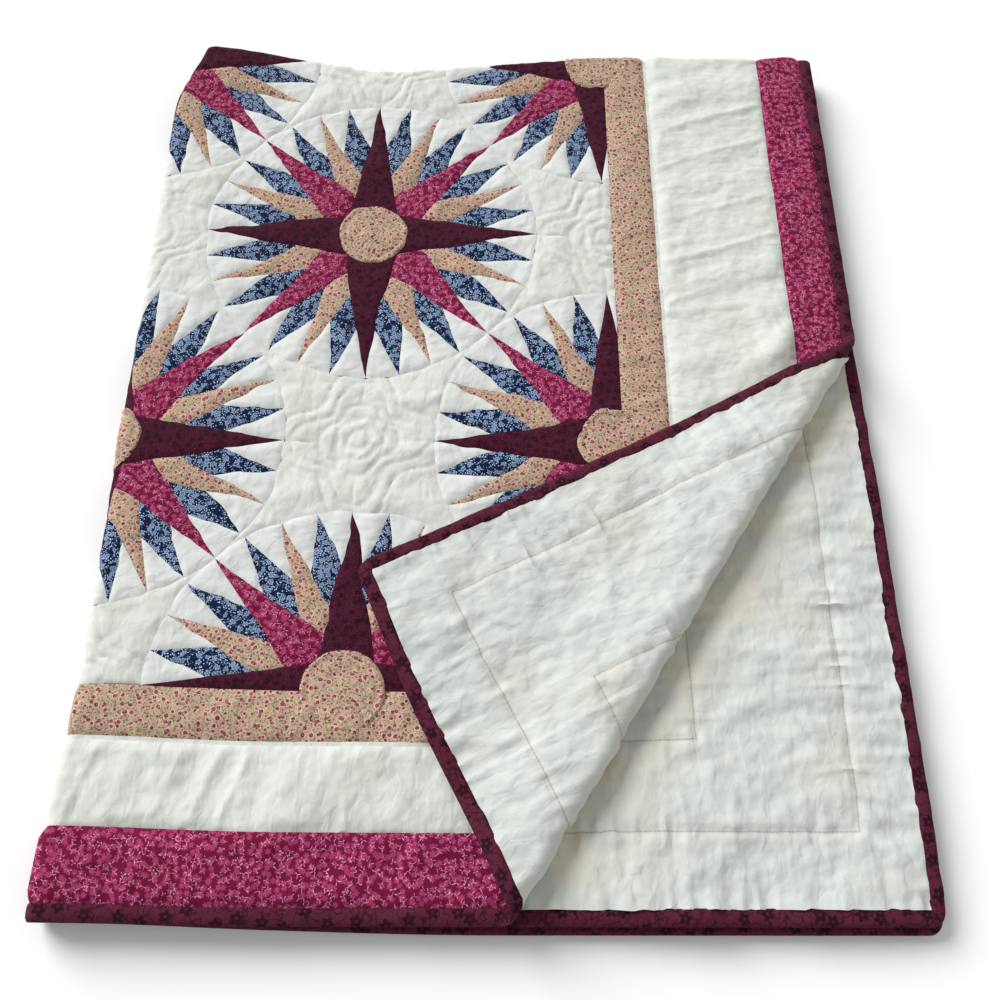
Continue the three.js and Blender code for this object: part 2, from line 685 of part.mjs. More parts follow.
function binding() {
  const edge = gridNet(linesWithin(linesU, -BODY_U, BODY_U), linesWithin(linesV, -BODY_V, BODY_V), () => 0);
  const isAt = (value, line) => Math.abs(Math.abs(value) - line) < PIECE_GAP;
  const stations = edge.rim().flatMap((i) => {
    const [u, v] = edge.points[i];
    const [side, end] = [isAt(u, BODY_U) ? Math.sign(u) : 0, isAt(v, BODY_V) ? Math.sign(v) : 0];
    if (!side || !end) return [{ u, v, outward: [side, end] }];
    const turns = side * end > 0 ? [...CORNER_TURNS].reverse() : CORNER_TURNS;
    return turns.map((degrees) => {
      const turn = THREE.MathUtils.degToRad(degrees);
      return { u, v, outward: [side * Math.cos(turn), end * Math.sin(turn)] };
    });
  });
  const positions = stations.flatMap(({ u, v, outward }) =>
    BINDING_PROFILE.flatMap(({ out, n }) => {
      const reach = out + BINDING_GAP;
      return place(u + outward[0] * reach, v + outward[1] * reach, n).toArray();
    }),
  );
  const count = BINDING_PROFILE.length;
  const indices = stations.flatMap((_, station) => {
    const next = (station + 1) % stations.length;
    return BINDING_PROFILE.flatMap((_, k) => {
      const after = (k + 1) % count;
      const [a, b] = [station * count + k, station * count + after];
      const [c, d] = [next * count + after, next * count + k];
      return [a, b, c, a, c, d];
    });
  });
  return piece("binding", closedGeometry(positions, indices), COLOURS.burgundy);
}

const quilt = new THREE.Group();
quilt.name = "folded_star_quilt";
quilt.add(field(), ...borders(), backing(), binding());

export default quilt;
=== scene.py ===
"""A pieced star quilt, folded in quarters with its near corner turned back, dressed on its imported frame.

Every piece of cloth is drawn flat on the open quilt, where u runs right and v towards the reader from its
middle, and is then carried to its folded place. n is a height over the middle of the quilt's thickness,
positive towards the pieced face. Metres throughout.
"""
import math

import bpy
import numpy as np
from bpy.props import FloatProperty, FloatVectorProperty, PointerProperty
from mathutils import Matrix, Vector
from mathutils.geometry import delaunay_2d_cdt


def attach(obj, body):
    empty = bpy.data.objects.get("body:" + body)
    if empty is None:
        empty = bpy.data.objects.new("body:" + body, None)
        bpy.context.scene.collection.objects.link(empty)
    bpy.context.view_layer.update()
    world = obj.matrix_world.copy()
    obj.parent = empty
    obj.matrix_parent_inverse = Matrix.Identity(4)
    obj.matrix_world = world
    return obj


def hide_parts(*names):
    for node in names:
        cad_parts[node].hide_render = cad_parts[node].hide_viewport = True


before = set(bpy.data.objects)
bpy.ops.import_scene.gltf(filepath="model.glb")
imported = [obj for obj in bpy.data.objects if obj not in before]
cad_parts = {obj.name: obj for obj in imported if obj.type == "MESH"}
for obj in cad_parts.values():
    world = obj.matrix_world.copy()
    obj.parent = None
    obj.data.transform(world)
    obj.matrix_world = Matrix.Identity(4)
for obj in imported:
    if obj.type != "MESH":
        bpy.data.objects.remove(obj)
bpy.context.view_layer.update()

bl_info = {
    "name": "Folded star quilt",
    "version": (1, 0, 0),
    "blender": (4, 5, 0),
    "location": "View3D > Sidebar > Quilt",
    "description": "Pieces, quilts and folds a compass-star quilt",
    "category": "Object",
}

# The pieced top, measured on the open quilt from its middle
STAR_RADIUS = 0.203
CELL = STAR_RADIUS * math.sqrt(2)  # stars stand on every other corner of a grid of this pitch
FIELD = (2 * CELL, 3 * CELL)
SIDE_BORDERS = (0.064, 0.155, 0.060)  # inner, middle, outer
END_BORDERS = (0.052, 0.086, 0.068)
BINDING_WIDTH = 0.015
BODY = (FIELD[0] + sum(SIDE_BORDERS), FIELD[1] + sum(END_BORDERS))
HALF = (BODY[0] + BINDING_WIDTH, BODY[1] + BINDING_WIDTH)
RAY_SLOPES = {"long": 0.175, "broad": 0.180, "narrow": 0.155, "thin": 0.250}
FIELD_EDGE = (FIELD[0] + 0.010, FIELD[1])  # the pieced field runs a little past the side stars' middles
DISC_RADIUS = 0.21 * STAR_RADIUS

# The quilt's thickness, as heights over its middle
CROWN = 0.0032
SEAM = 0.0010
BACK = -0.0029
CLOTH = 0.0007
STAR_SEAM = 0.0016
GROUND_SEAM = 0.0015
DISC_RISE = 0.0014
BACK_INNERMOST = -0.0009  # the back's cloth comes no nearer to the pieced top than this

# Hand work: how wide a quilted line is drawn in, and the gathers beside a seam
QUILTED_LINE = 0.0026
GATHER = {"crisp": 0.0019, "small": 0.0006, "reach": 0.028}

# The folds
LAYER_PITCH = 0.0076
BEND = LAYER_PITCH / 2
SIDE_BEND = 2 * BEND
OUTER_BEND = 3 * BEND
FOLD_SWELL = {"side": 0.25, "top": 0.2, "width": 0.06}
LOWER_SLIP = 0.007
SIDE_FOLD = {"at": (-0.02, 0.06, 0.85, HALF[1]), "shift": (0.048, 0.012, 0.014, 0.001)}
TOP_FOLD = {"at": (0, CELL / 3, CELL, 2 * CELL, HALF[0]), "shift": (-0.017, -0.017, 0.020, -0.013, -0.017)}
FOLD_SOFTENING = 0.03
NEAR_DRAW = {"from": 0.600, "to": 1.000, "by": 0.0075}
SIDE_DRAW = {"from": 0.600, "to": 0.800, "width": 0.220, "by": 0.006, "fades": (0.950, 1.250)}
CREASE = {
    "foot": (0.4507, -1.0645),
    "head": (0.8385, -0.462),
    "bend": 0.011,
    "slope": 0.11,
    "settled": 0.0086,
    "ease": 0.96,
    "slide": 0.0168,
    "slide_run": 0.220,
}
CREASE_TURN = math.pi * CREASE["bend"]
LYING_FLAT = 0.15  # what is left of a ripple that would press into the ground
CENTRE = (0.4303, -0.5300)
QUARTER_TURN = math.pi / 2

# Soft swells of the cloth that shows: plan place, turn in degrees, length, width, height
UPPER_SWELLS = (
    (0.700, -0.150, 80, 0.220, 0.075, 0.0032),
    (0.705, -0.420, 15, 0.120, 0.070, 0.0036),
    (0.290, -0.570, 5, 0.190, 0.080, 0.0026),
    (0.120, -0.350, 70, 0.170, 0.075, 0.0022),
    (0.480, -0.300, 60, 0.160, 0.080, 0.0024),
    (0.200, -0.960, 20, 0.180, 0.070, 0.0030),
    (0.480, -0.760, 35, 0.150, 0.075, 0.0034),
    (0.560, -0.610, 120, 0.120, 0.070, 0.0026),
    (0.330, -0.060, 95, 0.120, 0.075, 0.0020),
    (0.772, -0.436, 62, 0.045, 0.011, 0.0042),
    (0.742, -0.462, 38, 0.052, 0.012, 0.0036),
    (0.752, -0.415, 95, 0.036, 0.010, 0.0030),
)
LOWER_SWELLS = (
    (0.800, -0.640, 5, 0.120, 0.062, 0.0030),
    (0.745, -0.830, 140, 0.150, 0.064, 0.0036),
    (0.640, -1.000, 20, 0.150, 0.060, 0.0028),
    (0.800, -0.980, 60, 0.110, 0.062, 0.0026),
)

# The grain of the meshes
FINE = 0.0034
COARSE = 0.018
BACK_FINE = 0.0037
BACK_COARSE = 0.026
EDGE_STEP = 0.005  # along the binding
CORNER_STEPS = 6  # round each of its corners
LOT = 2000  # points measured at a time

# Phase of the weave for each millimetre: threads 0.55 mm apart
THREAD_TURNS = 6.283 / 0.55

# The camera, from the photograph's perspective
CAMERA = {"place": (-0.0122, -0.5499, 1.035), "down": 66.42, "side": 2.72, "roll": 3.02, "lens": 36.0}


def sizes():
    return bpy.context.scene.quilt_sizes


def colours():
    return bpy.context.scene.quilt_colours


def smooth(low, high, x):
    t = np.clip((np.asarray(x, float) - low) / (high - low), 0, 1)
    return t * t * (3 - 2 * t)


def bell(x, middle, width):
    return np.exp(-(((x - middle) / width) ** 2))


# Smooth random swells: value noise from -1 to 1 with features of the given size
def noise(x, y, size, seed):
    x, y = x / size, y / size
    i, j = np.floor(x).astype(np.int64), np.floor(y).astype(np.int64)
    fx, fy = x - i, y - j
    fx, fy = fx * fx * fx * (fx * (fx * 6 - 15) + 10), fy * fy * fy * (fy * (fy * 6 - 15) + 10)

    def corner(a, b):
        h = (a * 374761393 + b * 668265263 + seed * 974634777) & 0xFFFFFFFF
        h = ((h ^ (h >> 13)) * 1274126177) & 0xFFFFFFFF
        return ((h ^ (h >> 16)) & 0xFFFF) / 32767.5 - 1

    low = corner(i, j) * (1 - fx) + corner(i + 1, j) * fx
    high = corner(i, j + 1) * (1 - fx) + corner(i + 1, j + 1) * fx
    return low * (1 - fy) + high * fy


def ridges(x, y, size, stretch, turn, seed):
    """Soft creases: sharp-topped noise, drawn out along a direction in degrees; 0 to 1."""
    angle = math.radians(turn)
    along = x * math.cos(angle) + y * math.sin(angle)
    across = y * math.cos(angle) - x * math.sin(angle)
    bent = across + 0.35 * size * noise(x, y, size * 2, seed + 50)
    return (1 - np.abs(noise(along / stretch, bent, size, seed))) ** 2


def fold_shift(fold, at):
    steps = (-1, -0.5, 0, 0.5, 1)
    return sum(np.interp(at + s * FOLD_SOFTENING, fold["at"], fold["shift"]) for s in steps) / len(steps)


def swell_height(swells, x, y):
    height = 0
    for sx, sy, turn, length, width, rise in swells:
        angle = math.radians(turn)
        along = (x - sx) * math.cos(angle) + (y - sy) * math.sin(angle)
        across = (y - sy) * math.cos(angle) - (x - sx) * math.sin(angle)
        height = height + rise * bell(along, 0, length) * bell(across, 0, width)
    return height


CREASE_FOOT, CREASE_HEAD = np.array(CREASE["foot"]), np.array(CREASE["head"])
CREASE_RUN = (CREASE_HEAD - CREASE_FOOT) / np.linalg.norm(CREASE_HEAD - CREASE_FOOT)
CREASE_OUT = np.array((CREASE_RUN[1], -CREASE_RUN[0]))


def past_crease(x, y):
    return (x - CREASE_FOOT[0]) * CREASE_OUT[0] + (y - CREASE_FOOT[1]) * CREASE_OUT[1] + CREASE["bend"]


def drawn_up(a, b):
    """How far the near edge is drawn in, more so by the side fold."""
    side = SIDE_DRAW["by"] * (1 - smooth(0, SIDE_DRAW["width"], a)) * (1 - smooth(*SIDE_DRAW["fades"], b))
    near = NEAR_DRAW["by"] * smooth(NEAR_DRAW["from"], NEAR_DRAW["to"], b)
    return near + side * smooth(SIDE_DRAW["from"], SIDE_DRAW["to"], b)


def stack_place(u, v):
    """The folded stack before the corner is turned."""
    top_fold = fold_shift(TOP_FOLD, np.abs(u))
    down = v - top_fold
    top_turn = BEND * QUARTER_TURN
    bent = np.abs(down) < top_turn
    reach = HALF[1] - top_fold - top_turn
    have = HALF[1] - np.sign(down) * top_fold - top_turn
    flat_b = top_fold + BEND + (np.abs(down) - top_turn) * reach / have
    angle = np.clip(down / BEND, -QUARTER_TURN, QUARTER_TURN)
    b = np.where(bent, top_fold + BEND * (1 - np.cos(angle)), flat_b)
    rise = BEND * np.sin(angle)
    side_fold = fold_shift(SIDE_FOLD, b)
    right = u - side_fold
    radius = SIDE_BEND + rise
    side_turn = radius * QUARTER_TURN
    bent = np.abs(right) < side_turn
    reach = HALF[0] - side_fold - OUTER_BEND * QUARTER_TURN
    have = HALF[0] - np.sign(right) * side_fold - side_turn
    angle = np.clip(right / radius, -QUARTER_TURN, QUARTER_TURN)
    flat_a = OUTER_BEND + (np.abs(right) - side_turn) * reach / have
    a = np.where(bent, OUTER_BEND - radius * np.cos(angle), flat_a)
    height = radius * np.sin(angle)
    width = FOLD_SWELL["width"]
    swell = FOLD_SWELL["side"] * bell(a, 0, width) + FOLD_SWELL["top"] * bell(b, top_fold, width)
    slip = np.where(right < 0, LOWER_SLIP * smooth(width, HALF[0] / 2, a), 0)
    return {
        "x": side_fold + a,
        "y": drawn_up(a, b) - b - slip,
        "z": CROWN + (OUTER_BEND + height) * (1 + swell),
        "right": right,
        "down": down,
        "upper": (down > top_turn) & (right > side_turn),
        "second": (down < -top_turn) & (right > side_turn),
        "from_folds": np.minimum(np.abs(down) - top_turn, np.abs(right) - side_turn),
    }


def turned_by(past):
    """The turned corner's move across the crease, its slide back along it, and its rise."""
    angle = np.clip(past, 0, CREASE_TURN) / CREASE["bend"]
    over = np.maximum(past - CREASE_TURN, 0)
    fall = (2 * CREASE["bend"] - CREASE["settled"]) * smooth(0, CREASE["slope"], over)
    move = np.where(
        past < 0, 0, np.where(past < CREASE_TURN, CREASE["bend"] * np.sin(angle), -over * CREASE["ease"]) - past
    )
    slide = CREASE["slide"] * smooth(0, CREASE["slide_run"], over)
    return move, slide, CREASE["bend"] * (1 - np.cos(angle)) - fall


def rumple(x, y, flap):
    """Creases and drags of the cloth that shows, as a rise; flap is 1 on the turned corner."""
    fine = ridges(x, y, 0.026, 2.6, 20, 11) + 0.7 * ridges(x, y, 0.019, 2.0, 118, 12)
    broad = 3.0 * ridges(x, y, 0.080, 2.4, -50, 13) + 2.2 * ridges(x, y, 0.058, 2.2, 8, 14)
    drags = 2.6 * ridges(x, y, 0.036, 3.2, -52, 15) + 1.4 * ridges(x, y, 0.021, 2.6, -38, 16)
    return sizes().rumple * (fine * (0.5 + 0.5 * flap) + broad + drags * flap)


def middle(u, v):
    """The middle of the quilt's thickness, in its folded place: an array of points."""
    at = stack_place(u, v)
    x, y, z = at["x"], at["y"], at["z"]
    past = past_crease(x, y)
    move, slide, rise = turned_by(past)
    upper, second = at["upper"], at["second"]
    x = x + np.where(upper, move * CREASE_OUT[0] - slide * CREASE_RUN[0], 0)
    y = y + np.where(upper, move * CREASE_OUT[1] - slide * CREASE_RUN[1], 0)
    away = smooth(0, FOLD_SWELL["width"], at["from_folds"])
    flap = smooth(CREASE_TURN * 0.5, CREASE_TURN * 1.5, past)
    lift = swell_height(UPPER_SWELLS, x, y) * away + rumple(x, y, flap) * away
    z = z + np.where(upper, rise + lift, 0)
    shown = smooth(CREASE["bend"], FOLD_SWELL["width"], past)
    lower = (swell_height(LOWER_SWELLS, x, y) + 1.25 * rumple(x + 0.4, y, 0.6)) * shown
    z = z + np.where(second, lower, 0)
    return np.stack((x - CENTRE[0], y - CENTRE[1], z), axis=-1)


def place(u, v, n):
    """Points at height n over the middle of the quilt's thickness."""
    u, v, n = np.asarray(u, float), np.asarray(v, float), np.asarray(n, float)
    step = 0.0004
    across = middle(u + step, v) - middle(u - step, v)
    up = middle(u, v - step) - middle(u, v + step)
    normal = np.cross(across, up)
    normal /= np.linalg.norm(normal, axis=-1, keepdims=True)
    points = middle(u, v) + normal * n[..., None]
    z = points[..., 2]
    points[..., 2] = np.where(z < 0, LYING_FLAT * z, z)
    return points


def is_shown_face(u, v):
    """Where the pieced face is seen or bends sharply, and so needs a fine mesh."""
    at = stack_place(u, v)
    past = past_crease(at["x"], at["y"])
    seen = (at["right"] > -0.02) & (at["down"] > -0.02) & (past < CREASE_TURN)
    bent = (np.abs(at["right"]) < 0.03) | (np.abs(at["down"]) < 0.015)
    return seen | bent


def is_shown_back(u, v):
    """Where the backing is seen: on the turned corner and on the layer under it."""
    at = stack_place(u, v)
    past = past_crease(at["x"], at["y"])
    flap = at["upper"] & (past > -0.01)
    under = at["second"] & (past > -0.03)
    bent = (np.abs(at["right"]) < 0.03) | (np.abs(at["down"]) < 0.015)
    return flap | under | bent


# Flat drawing: outlines, and meshes inside them

def clipped(outline, axis, limit, keep_below):
    """The part of an outline on one side of a straight line."""
    sign = 1 if keep_below else -1
    kept = []
    for p, q in zip(outline, outline[1:] + outline[:1]):
        dp, dq = sign * (limit - p[axis]), sign * (limit - q[axis])
        if dp >= 0:
            kept.append(p)
        if dp * dq < 0:
            t = dp / (dp - dq)
            kept.append((p[0] + (q[0] - p[0]) * t, p[1] + (q[1] - p[1]) * t))
    return kept


def inside_field(outline):
    for axis in (0, 1):
        for limit, keep_below in ((FIELD_EDGE[axis], True), (-FIELD_EDGE[axis], False)):
            outline = clipped(outline, axis, limit, keep_below) if len(outline) > 2 else []
    return outline


def area_of(outline):
    p = np.array(outline)
    q = np.roll(p, -1, axis=0)
    return 0.5 * float(np.sum(p[:, 0] * q[:, 1] - q[:, 0] * p[:, 1]))


def subdivided(outline, step_at):
    points = []
    for p, q in zip(outline, outline[1:] + outline[:1]):
        p, q = np.array(p), np.array(q)
        length = float(np.linalg.norm(q - p))
        if length < 1e-6:
            continue
        count = max(1, int(round(length / step_at((p + q) / 2, length))))
        points += [p + (q - p) * k / count for k in range(count)]
    return np.array(points)


def hexes(low, high, step):
    rows = np.arange(low[1], high[1] + step, step * 0.866)
    columns = np.arange(low[0], high[0] + step, step)
    u, v = np.meshgrid(columns, rows)
    u = u + np.where(np.arange(len(rows)) % 2, step / 2, 0)[:, None]
    return np.stack((u.ravel(), v.ravel()), axis=-1)


def rim_distance(points, rim):
    """Distance of each point from a closed outline, worked out in lots to spare memory."""
    a, b = rim, np.roll(rim, -1, axis=0)
    d = b - a
    long = np.maximum(np.sum(d * d, axis=1), 1e-12)
    nearest = np.empty(len(points))
    for start in range(0, len(points), LOT):
        p = points[start:start + LOT, None, :]
        t = np.clip(np.sum((p - a) * d, axis=2) / long, 0, 1)
        squares = np.sum((p - a - t[..., None] * d) ** 2, axis=2)
        nearest[start:start + LOT] = np.sqrt(np.min(squares, axis=1))
    return nearest


def inside(points, outline):
    a = np.array(outline)
    b = np.roll(a, -1, axis=0)
    within = np.zeros(len(points), bool)
    for (ax, ay), (bx, by) in zip(a, b):
        if ay == by:
            continue
        crosses = (ay > points[:, 1]) != (by > points[:, 1])
        within ^= crosses & (points[:, 0] < (bx - ax) * (points[:, 1] - ay) / (by - ay) + ax)
    return within


def flat_mesh(outline, shown, fine=FINE, coarse=COARSE):
    """Points, triangles and rim distances of a mesh inside an outline, fine where shown() says so."""
    if area_of(outline) < 0:
        outline = outline[::-1]

    def step_at(point, length):
        ends = shown(np.array([point[0]]), np.array([point[1]]))[0]
        return fine if ends or length > 0.3 else coarse

    rim = subdivided(outline, step_at)
    corners = np.array(outline)
    low, high = rim.min(axis=0), rim.max(axis=0)
    lots = []
    for step, wanted in ((fine, True), (coarse, False)):
        p = hexes(low, high, step)
        p = p[shown(p[:, 0], p[:, 1]) == wanted]
        p = p[inside(p, outline)] if len(p) else p
        if len(p):
            lots.append(p[rim_distance(p, corners) > 0.55 * step])
    points = np.concatenate([rim, *lots])
    order = list(range(len(rim)))
    made = delaunay_2d_cdt([Vector(p) for p in points], [], [order], 1, 1e-6)
    points = np.array([tuple(p) for p in made[0]])
    triangles = np.array([tuple(f) for f in made[2]], int).reshape(-1, 3)
    p, q, r = (points[triangles[:, k]] for k in range(3))
    turn = (q[:, 0] - p[:, 0]) * (r[:, 1] - p[:, 1]) - (r[:, 0] - p[:, 0]) * (q[:, 1] - p[:, 1])
    triangles = triangles[np.abs(turn) > 1e-10]
    turn = turn[np.abs(turn) > 1e-10]
    triangles[turn < 0] = triangles[turn < 0][:, ::-1]
    return points, triangles, rim_distance(points, corners)


def hand_drawn(uv):
    """Seams as they come from the hand: a little out of true inside the field, true at its border."""
    u, v = uv[:, 0], uv[:, 1]
    held = smooth(0, 0.03, np.minimum(FIELD_EDGE[0] - np.abs(u), FIELD_EDGE[1] - np.abs(v)))
    across = 0.0024 * noise(u, v, 0.050, 61) + 0.0013 * noise(u, v, 0.014, 62)
    along = 0.0024 * noise(u, v, 0.050, 63) + 0.0013 * noise(u, v, 0.014, 64)
    return u + across * held, v + along * held


class Cloth:
    """Closed thin patches gathered into one mesh, with a flat map of each patch for its weave and print."""

    def __init__(self):
        self.points, self.faces, self.maps = [], [], []
        self.count = 0
        self.area = 0.0

    def add(self, uv, triangles, upper, thickness, print_turn=0.0, print_shift=(0.0, 0.0)):
        """upper is each point's height; the lower side lies thickness under it."""
        size = len(uv)
        u, v = hand_drawn(uv)
        top, bottom = place(u, v, upper), place(u, v, upper - thickness)
        edges = {}
        for a, b, c in triangles.tolist():
            for e in ((a, b), (b, c), (c, a)):
                edges[e] = True
        rim = [(a, b) for a, b in edges if (b, a) not in edges]
        # v runs down, so triangles drawn anticlockwise on the flat face the back: both sides are turned over
        faces = [triangles[:, ::-1] + self.count, triangles + self.count + size]
        walls = [(a, b, b + size) for a, b in rim] + [(a, b + size, a + size) for a, b in rim]
        faces.append(np.array(walls, int).reshape(-1, 3) + self.count)
        self.points += [top, bottom]
        self.faces += faces
        self.count += 2 * size
        turn = math.radians(print_turn)
        along = uv[:, 0] * math.cos(turn) + uv[:, 1] * math.sin(turn) + print_shift[0]
        across = uv[:, 1] * math.cos(turn) - uv[:, 0] * math.sin(turn) + print_shift[1]
        flat = np.stack((along, across), axis=-1)
        self.maps += [flat, flat]
        p, q, r = (uv[triangles[:, k]] for k in range(3))
        cross = (q[:, 0] - p[:, 0]) * (r[:, 1] - p[:, 1]) - (r[:, 0] - p[:, 0]) * (q[:, 1] - p[:, 1])
        self.area += 0.5 * float(np.abs(cross).sum())

    def made(self, name, material):
        points, faces, flat = (np.concatenate(x) for x in (self.points, self.faces, self.maps))
        piece = mesh_object(name, points, faces, flat)
        piece.data.materials.append(material)
        return piece


def mesh_object(name, points, faces, flat):
    data = bpy.data.meshes.new(name)
    data.vertices.add(len(points))
    data.vertices.foreach_set("co", points.astype(np.float32).ravel())
    data.loops.add(3 * len(faces))
    data.loops.foreach_set("vertex_index", faces.astype(np.int32).ravel())
    data.polygons.add(len(faces))
    data.polygons.foreach_set("loop_start", np.arange(0, 3 * len(faces), 3, dtype=np.int32))
    layer = data.uv_layers.new(name="cloth")
    layer.data.foreach_set("uv", flat[faces.ravel()].astype(np.float32).ravel())
    data.update(calc_edges=True)
    data.validate()
    piece = bpy.data.objects.new(name, data)
    bpy.context.collection.objects.link(piece)
    data.shade_smooth()
    data.set_sharp_from_angle(angle=math.radians(50))
    return piece


# The stars

def polar(radius, degrees):
    angle = math.radians(degrees)
    return (radius * math.cos(angle), radius * math.sin(angle))


def crossing(low, low_slope, high, high_slope):
    """Where the upper side of one ray meets the lower side of the next, round the star."""
    def side(degrees, slope, turn):
        c, s = math.cos(math.radians(degrees)), math.sin(math.radians(degrees))
        return (c * slope - s * turn, s * slope + c * turn)

    a, b = side(low, low_slope, 1), side(high, high_slope, -1)
    cross = a[0] * b[1] - a[1] * b[0]
    x = (low_slope * b[1] - high_slope * a[1]) / cross
    y = (high_slope * a[0] - low_slope * b[0]) / cross
    return (x * STAR_RADIUS, y * STAR_RADIUS)


def star_patches():
    """Half a quarter of a star and its mirror image: each patch's fabric and outline, from 0 to 45 degrees."""
    long, broad, narrow, thin = (RAY_SLOPES[k] for k in ("long", "broad", "narrow", "thin"))
    root = crossing(0, long, 90, long)
    foot = crossing(0, long, 45, broad)
    narrow_low, narrow_high = crossing(0, long, 22.5, narrow), crossing(22.5, narrow, 45, broad)
    thin_low, thin_inner = crossing(0, long, 11.25, thin), crossing(11.25, thin, 22.5, narrow)
    thin_outer, thin_high = crossing(22.5, narrow, 33.75, thin), crossing(33.75, thin, 45, broad)
    tips = {k: polar(STAR_RADIUS, 11.25 * k) for k in range(5)}

    def arc(k):
        return [polar(STAR_RADIUS, 11.25 * (k + t / 6)) for t in range(7)]

    def flip(p):
        return (p[1], p[0])

    def under(p):
        return (p[0], -p[1])

    half = [
        ("peach", [foot, narrow_low, thin_inner, tips[2], thin_outer, narrow_high]),
        ("navy", [narrow_low, thin_low, tips[1], thin_inner]),
        ("navy", [narrow_high, thin_outer, tips[3], thin_high]),
        ("white", [thin_low, *arc(0)]),
        ("white", [thin_inner, *arc(1)]),
        ("white", [thin_outer, *arc(2)]),
        ("white", [thin_high, *arc(3)]),
    ]
    whole = [
        ("burgundy", [(0, 0), under(root), tips[0], root]),
        ("crimson", [root, foot, narrow_high, thin_high, tips[4], *map(flip, (thin_high, narrow_high, foot))]),
    ]
    return half + [(kind, [flip(p) for p in outline]) for kind, outline in half] + whole


def grid_places(odd):
    """The field's grid corners whose numbers add up to an odd, or to an even, sum."""
    return [(i, j) for i in range(-2, 3) for j in range(-3, 4) if (i + j) % 2 == odd]


def star_places():
    return [(i, j) for i, j in grid_places(0) if not (abs(i) == 2 and abs(j) == 3)]


def turned(outline, quarters, at):
    for _ in range(quarters):
        outline = [(-p[1], p[0]) for p in outline]
    return [(p[0] + at[0], p[1] + at[1]) for p in outline]


def puffed(distance, width, low=SEAM, high=CROWN):
    return low + (high - low) * (1 - np.exp(-np.maximum(distance, 0) / width))


def face_ripple(u, v):
    """Small puckers that hand quilting draws into the pieced face."""
    return sizes().ripple * (noise(u, v, 0.014, 31) + 0.6 * noise(u, v, 0.008, 32))


def add_star_cloth(cloths, at, quarter, kind, outline, number):
    outline = inside_field(turned(outline, quarter, at))
    if len(outline) < 3 or abs(area_of(outline)) < 2e-5:
        return
    uv, triangles, distance = flat_mesh(outline, is_shown_face)
    crinkle = face_ripple(uv[:, 0], uv[:, 1])
    if kind == "white":
        crinkle = crinkle + 0.0006 * noise(uv[:, 0], uv[:, 1], 0.0085, 33)
    upper = puffed(distance, 0.003, STAR_SEAM) + crinkle * smooth(0, 0.006, distance)
    middle_point = np.mean(np.array(outline), axis=0) - np.array(at)
    turn = math.degrees(math.atan2(middle_point[1], middle_point[0]))
    cloths[kind].add(uv, triangles, upper, CLOTH, turn, (0.37 * number, 0.23 * number))


def star_cloths(kinds):
    cloths = {kind: Cloth() for kind in kinds}
    number = 0
    for i, j in star_places():
        for quarter in range(4):
            for kind, outline in star_patches():
                number += 1
                if kind in cloths:
                    add_star_cloth(cloths, (i * CELL, j * CELL), quarter, kind, outline, number)
    return cloths


def ground_outline():
    """The plain ground between four stars, round an empty corner of their grid."""
    angles = np.radians(225 - 3 * np.arange(30))
    arc = [(CELL + STAR_RADIUS * math.cos(t), STAR_RADIUS * math.sin(t)) for t in angles]
    return [p for quarter in range(4) for p in turned(arc, quarter, (0, 0))]


def rose_quilting(u, v):
    """How deep the hand-quilted rose draws the plain ground in."""
    radius, angle = np.hypot(u, v), np.arctan2(v, u)
    petals = 0.034 + 0.011 * np.abs(np.cos(2 * angle))
    lines = (radius - 0.013, radius - 0.024 - 0.004 * np.abs(np.cos(2.5 * angle)), radius - petals,
             radius - 0.062 - 0.016 * np.cos(4 * angle), radius - 0.082 - 0.020 * np.cos(4 * angle))
    spokes = np.abs(np.sin(2 * angle)) * radius
    groove = np.max([bell(line, 0, QUILTED_LINE) for line in lines], axis=0)
    groove = np.maximum(groove, bell(spokes, 0, QUILTED_LINE) * smooth(0.045, 0.05, radius))
    return sizes().quilting * groove


def ground_cloth():
    cloth = Cloth()
    for number, (i, j) in enumerate(grid_places(1)):
        outline = inside_field(turned(ground_outline(), 0, (i * CELL, j * CELL)))
        uv, triangles, distance = flat_mesh(outline, is_shown_face)
        quilted = rose_quilting(uv[:, 0] - i * CELL, uv[:, 1] - j * CELL)
        crinkle = 1.5 * face_ripple(uv[:, 0], uv[:, 1]) * smooth(0, 0.01, distance)
        upper = puffed(distance, 0.006, GROUND_SEAM) - quilted + crinkle
        cloth.add(uv, triangles, upper, CLOTH, 0, (0.31 * number, 0))
    return cloth


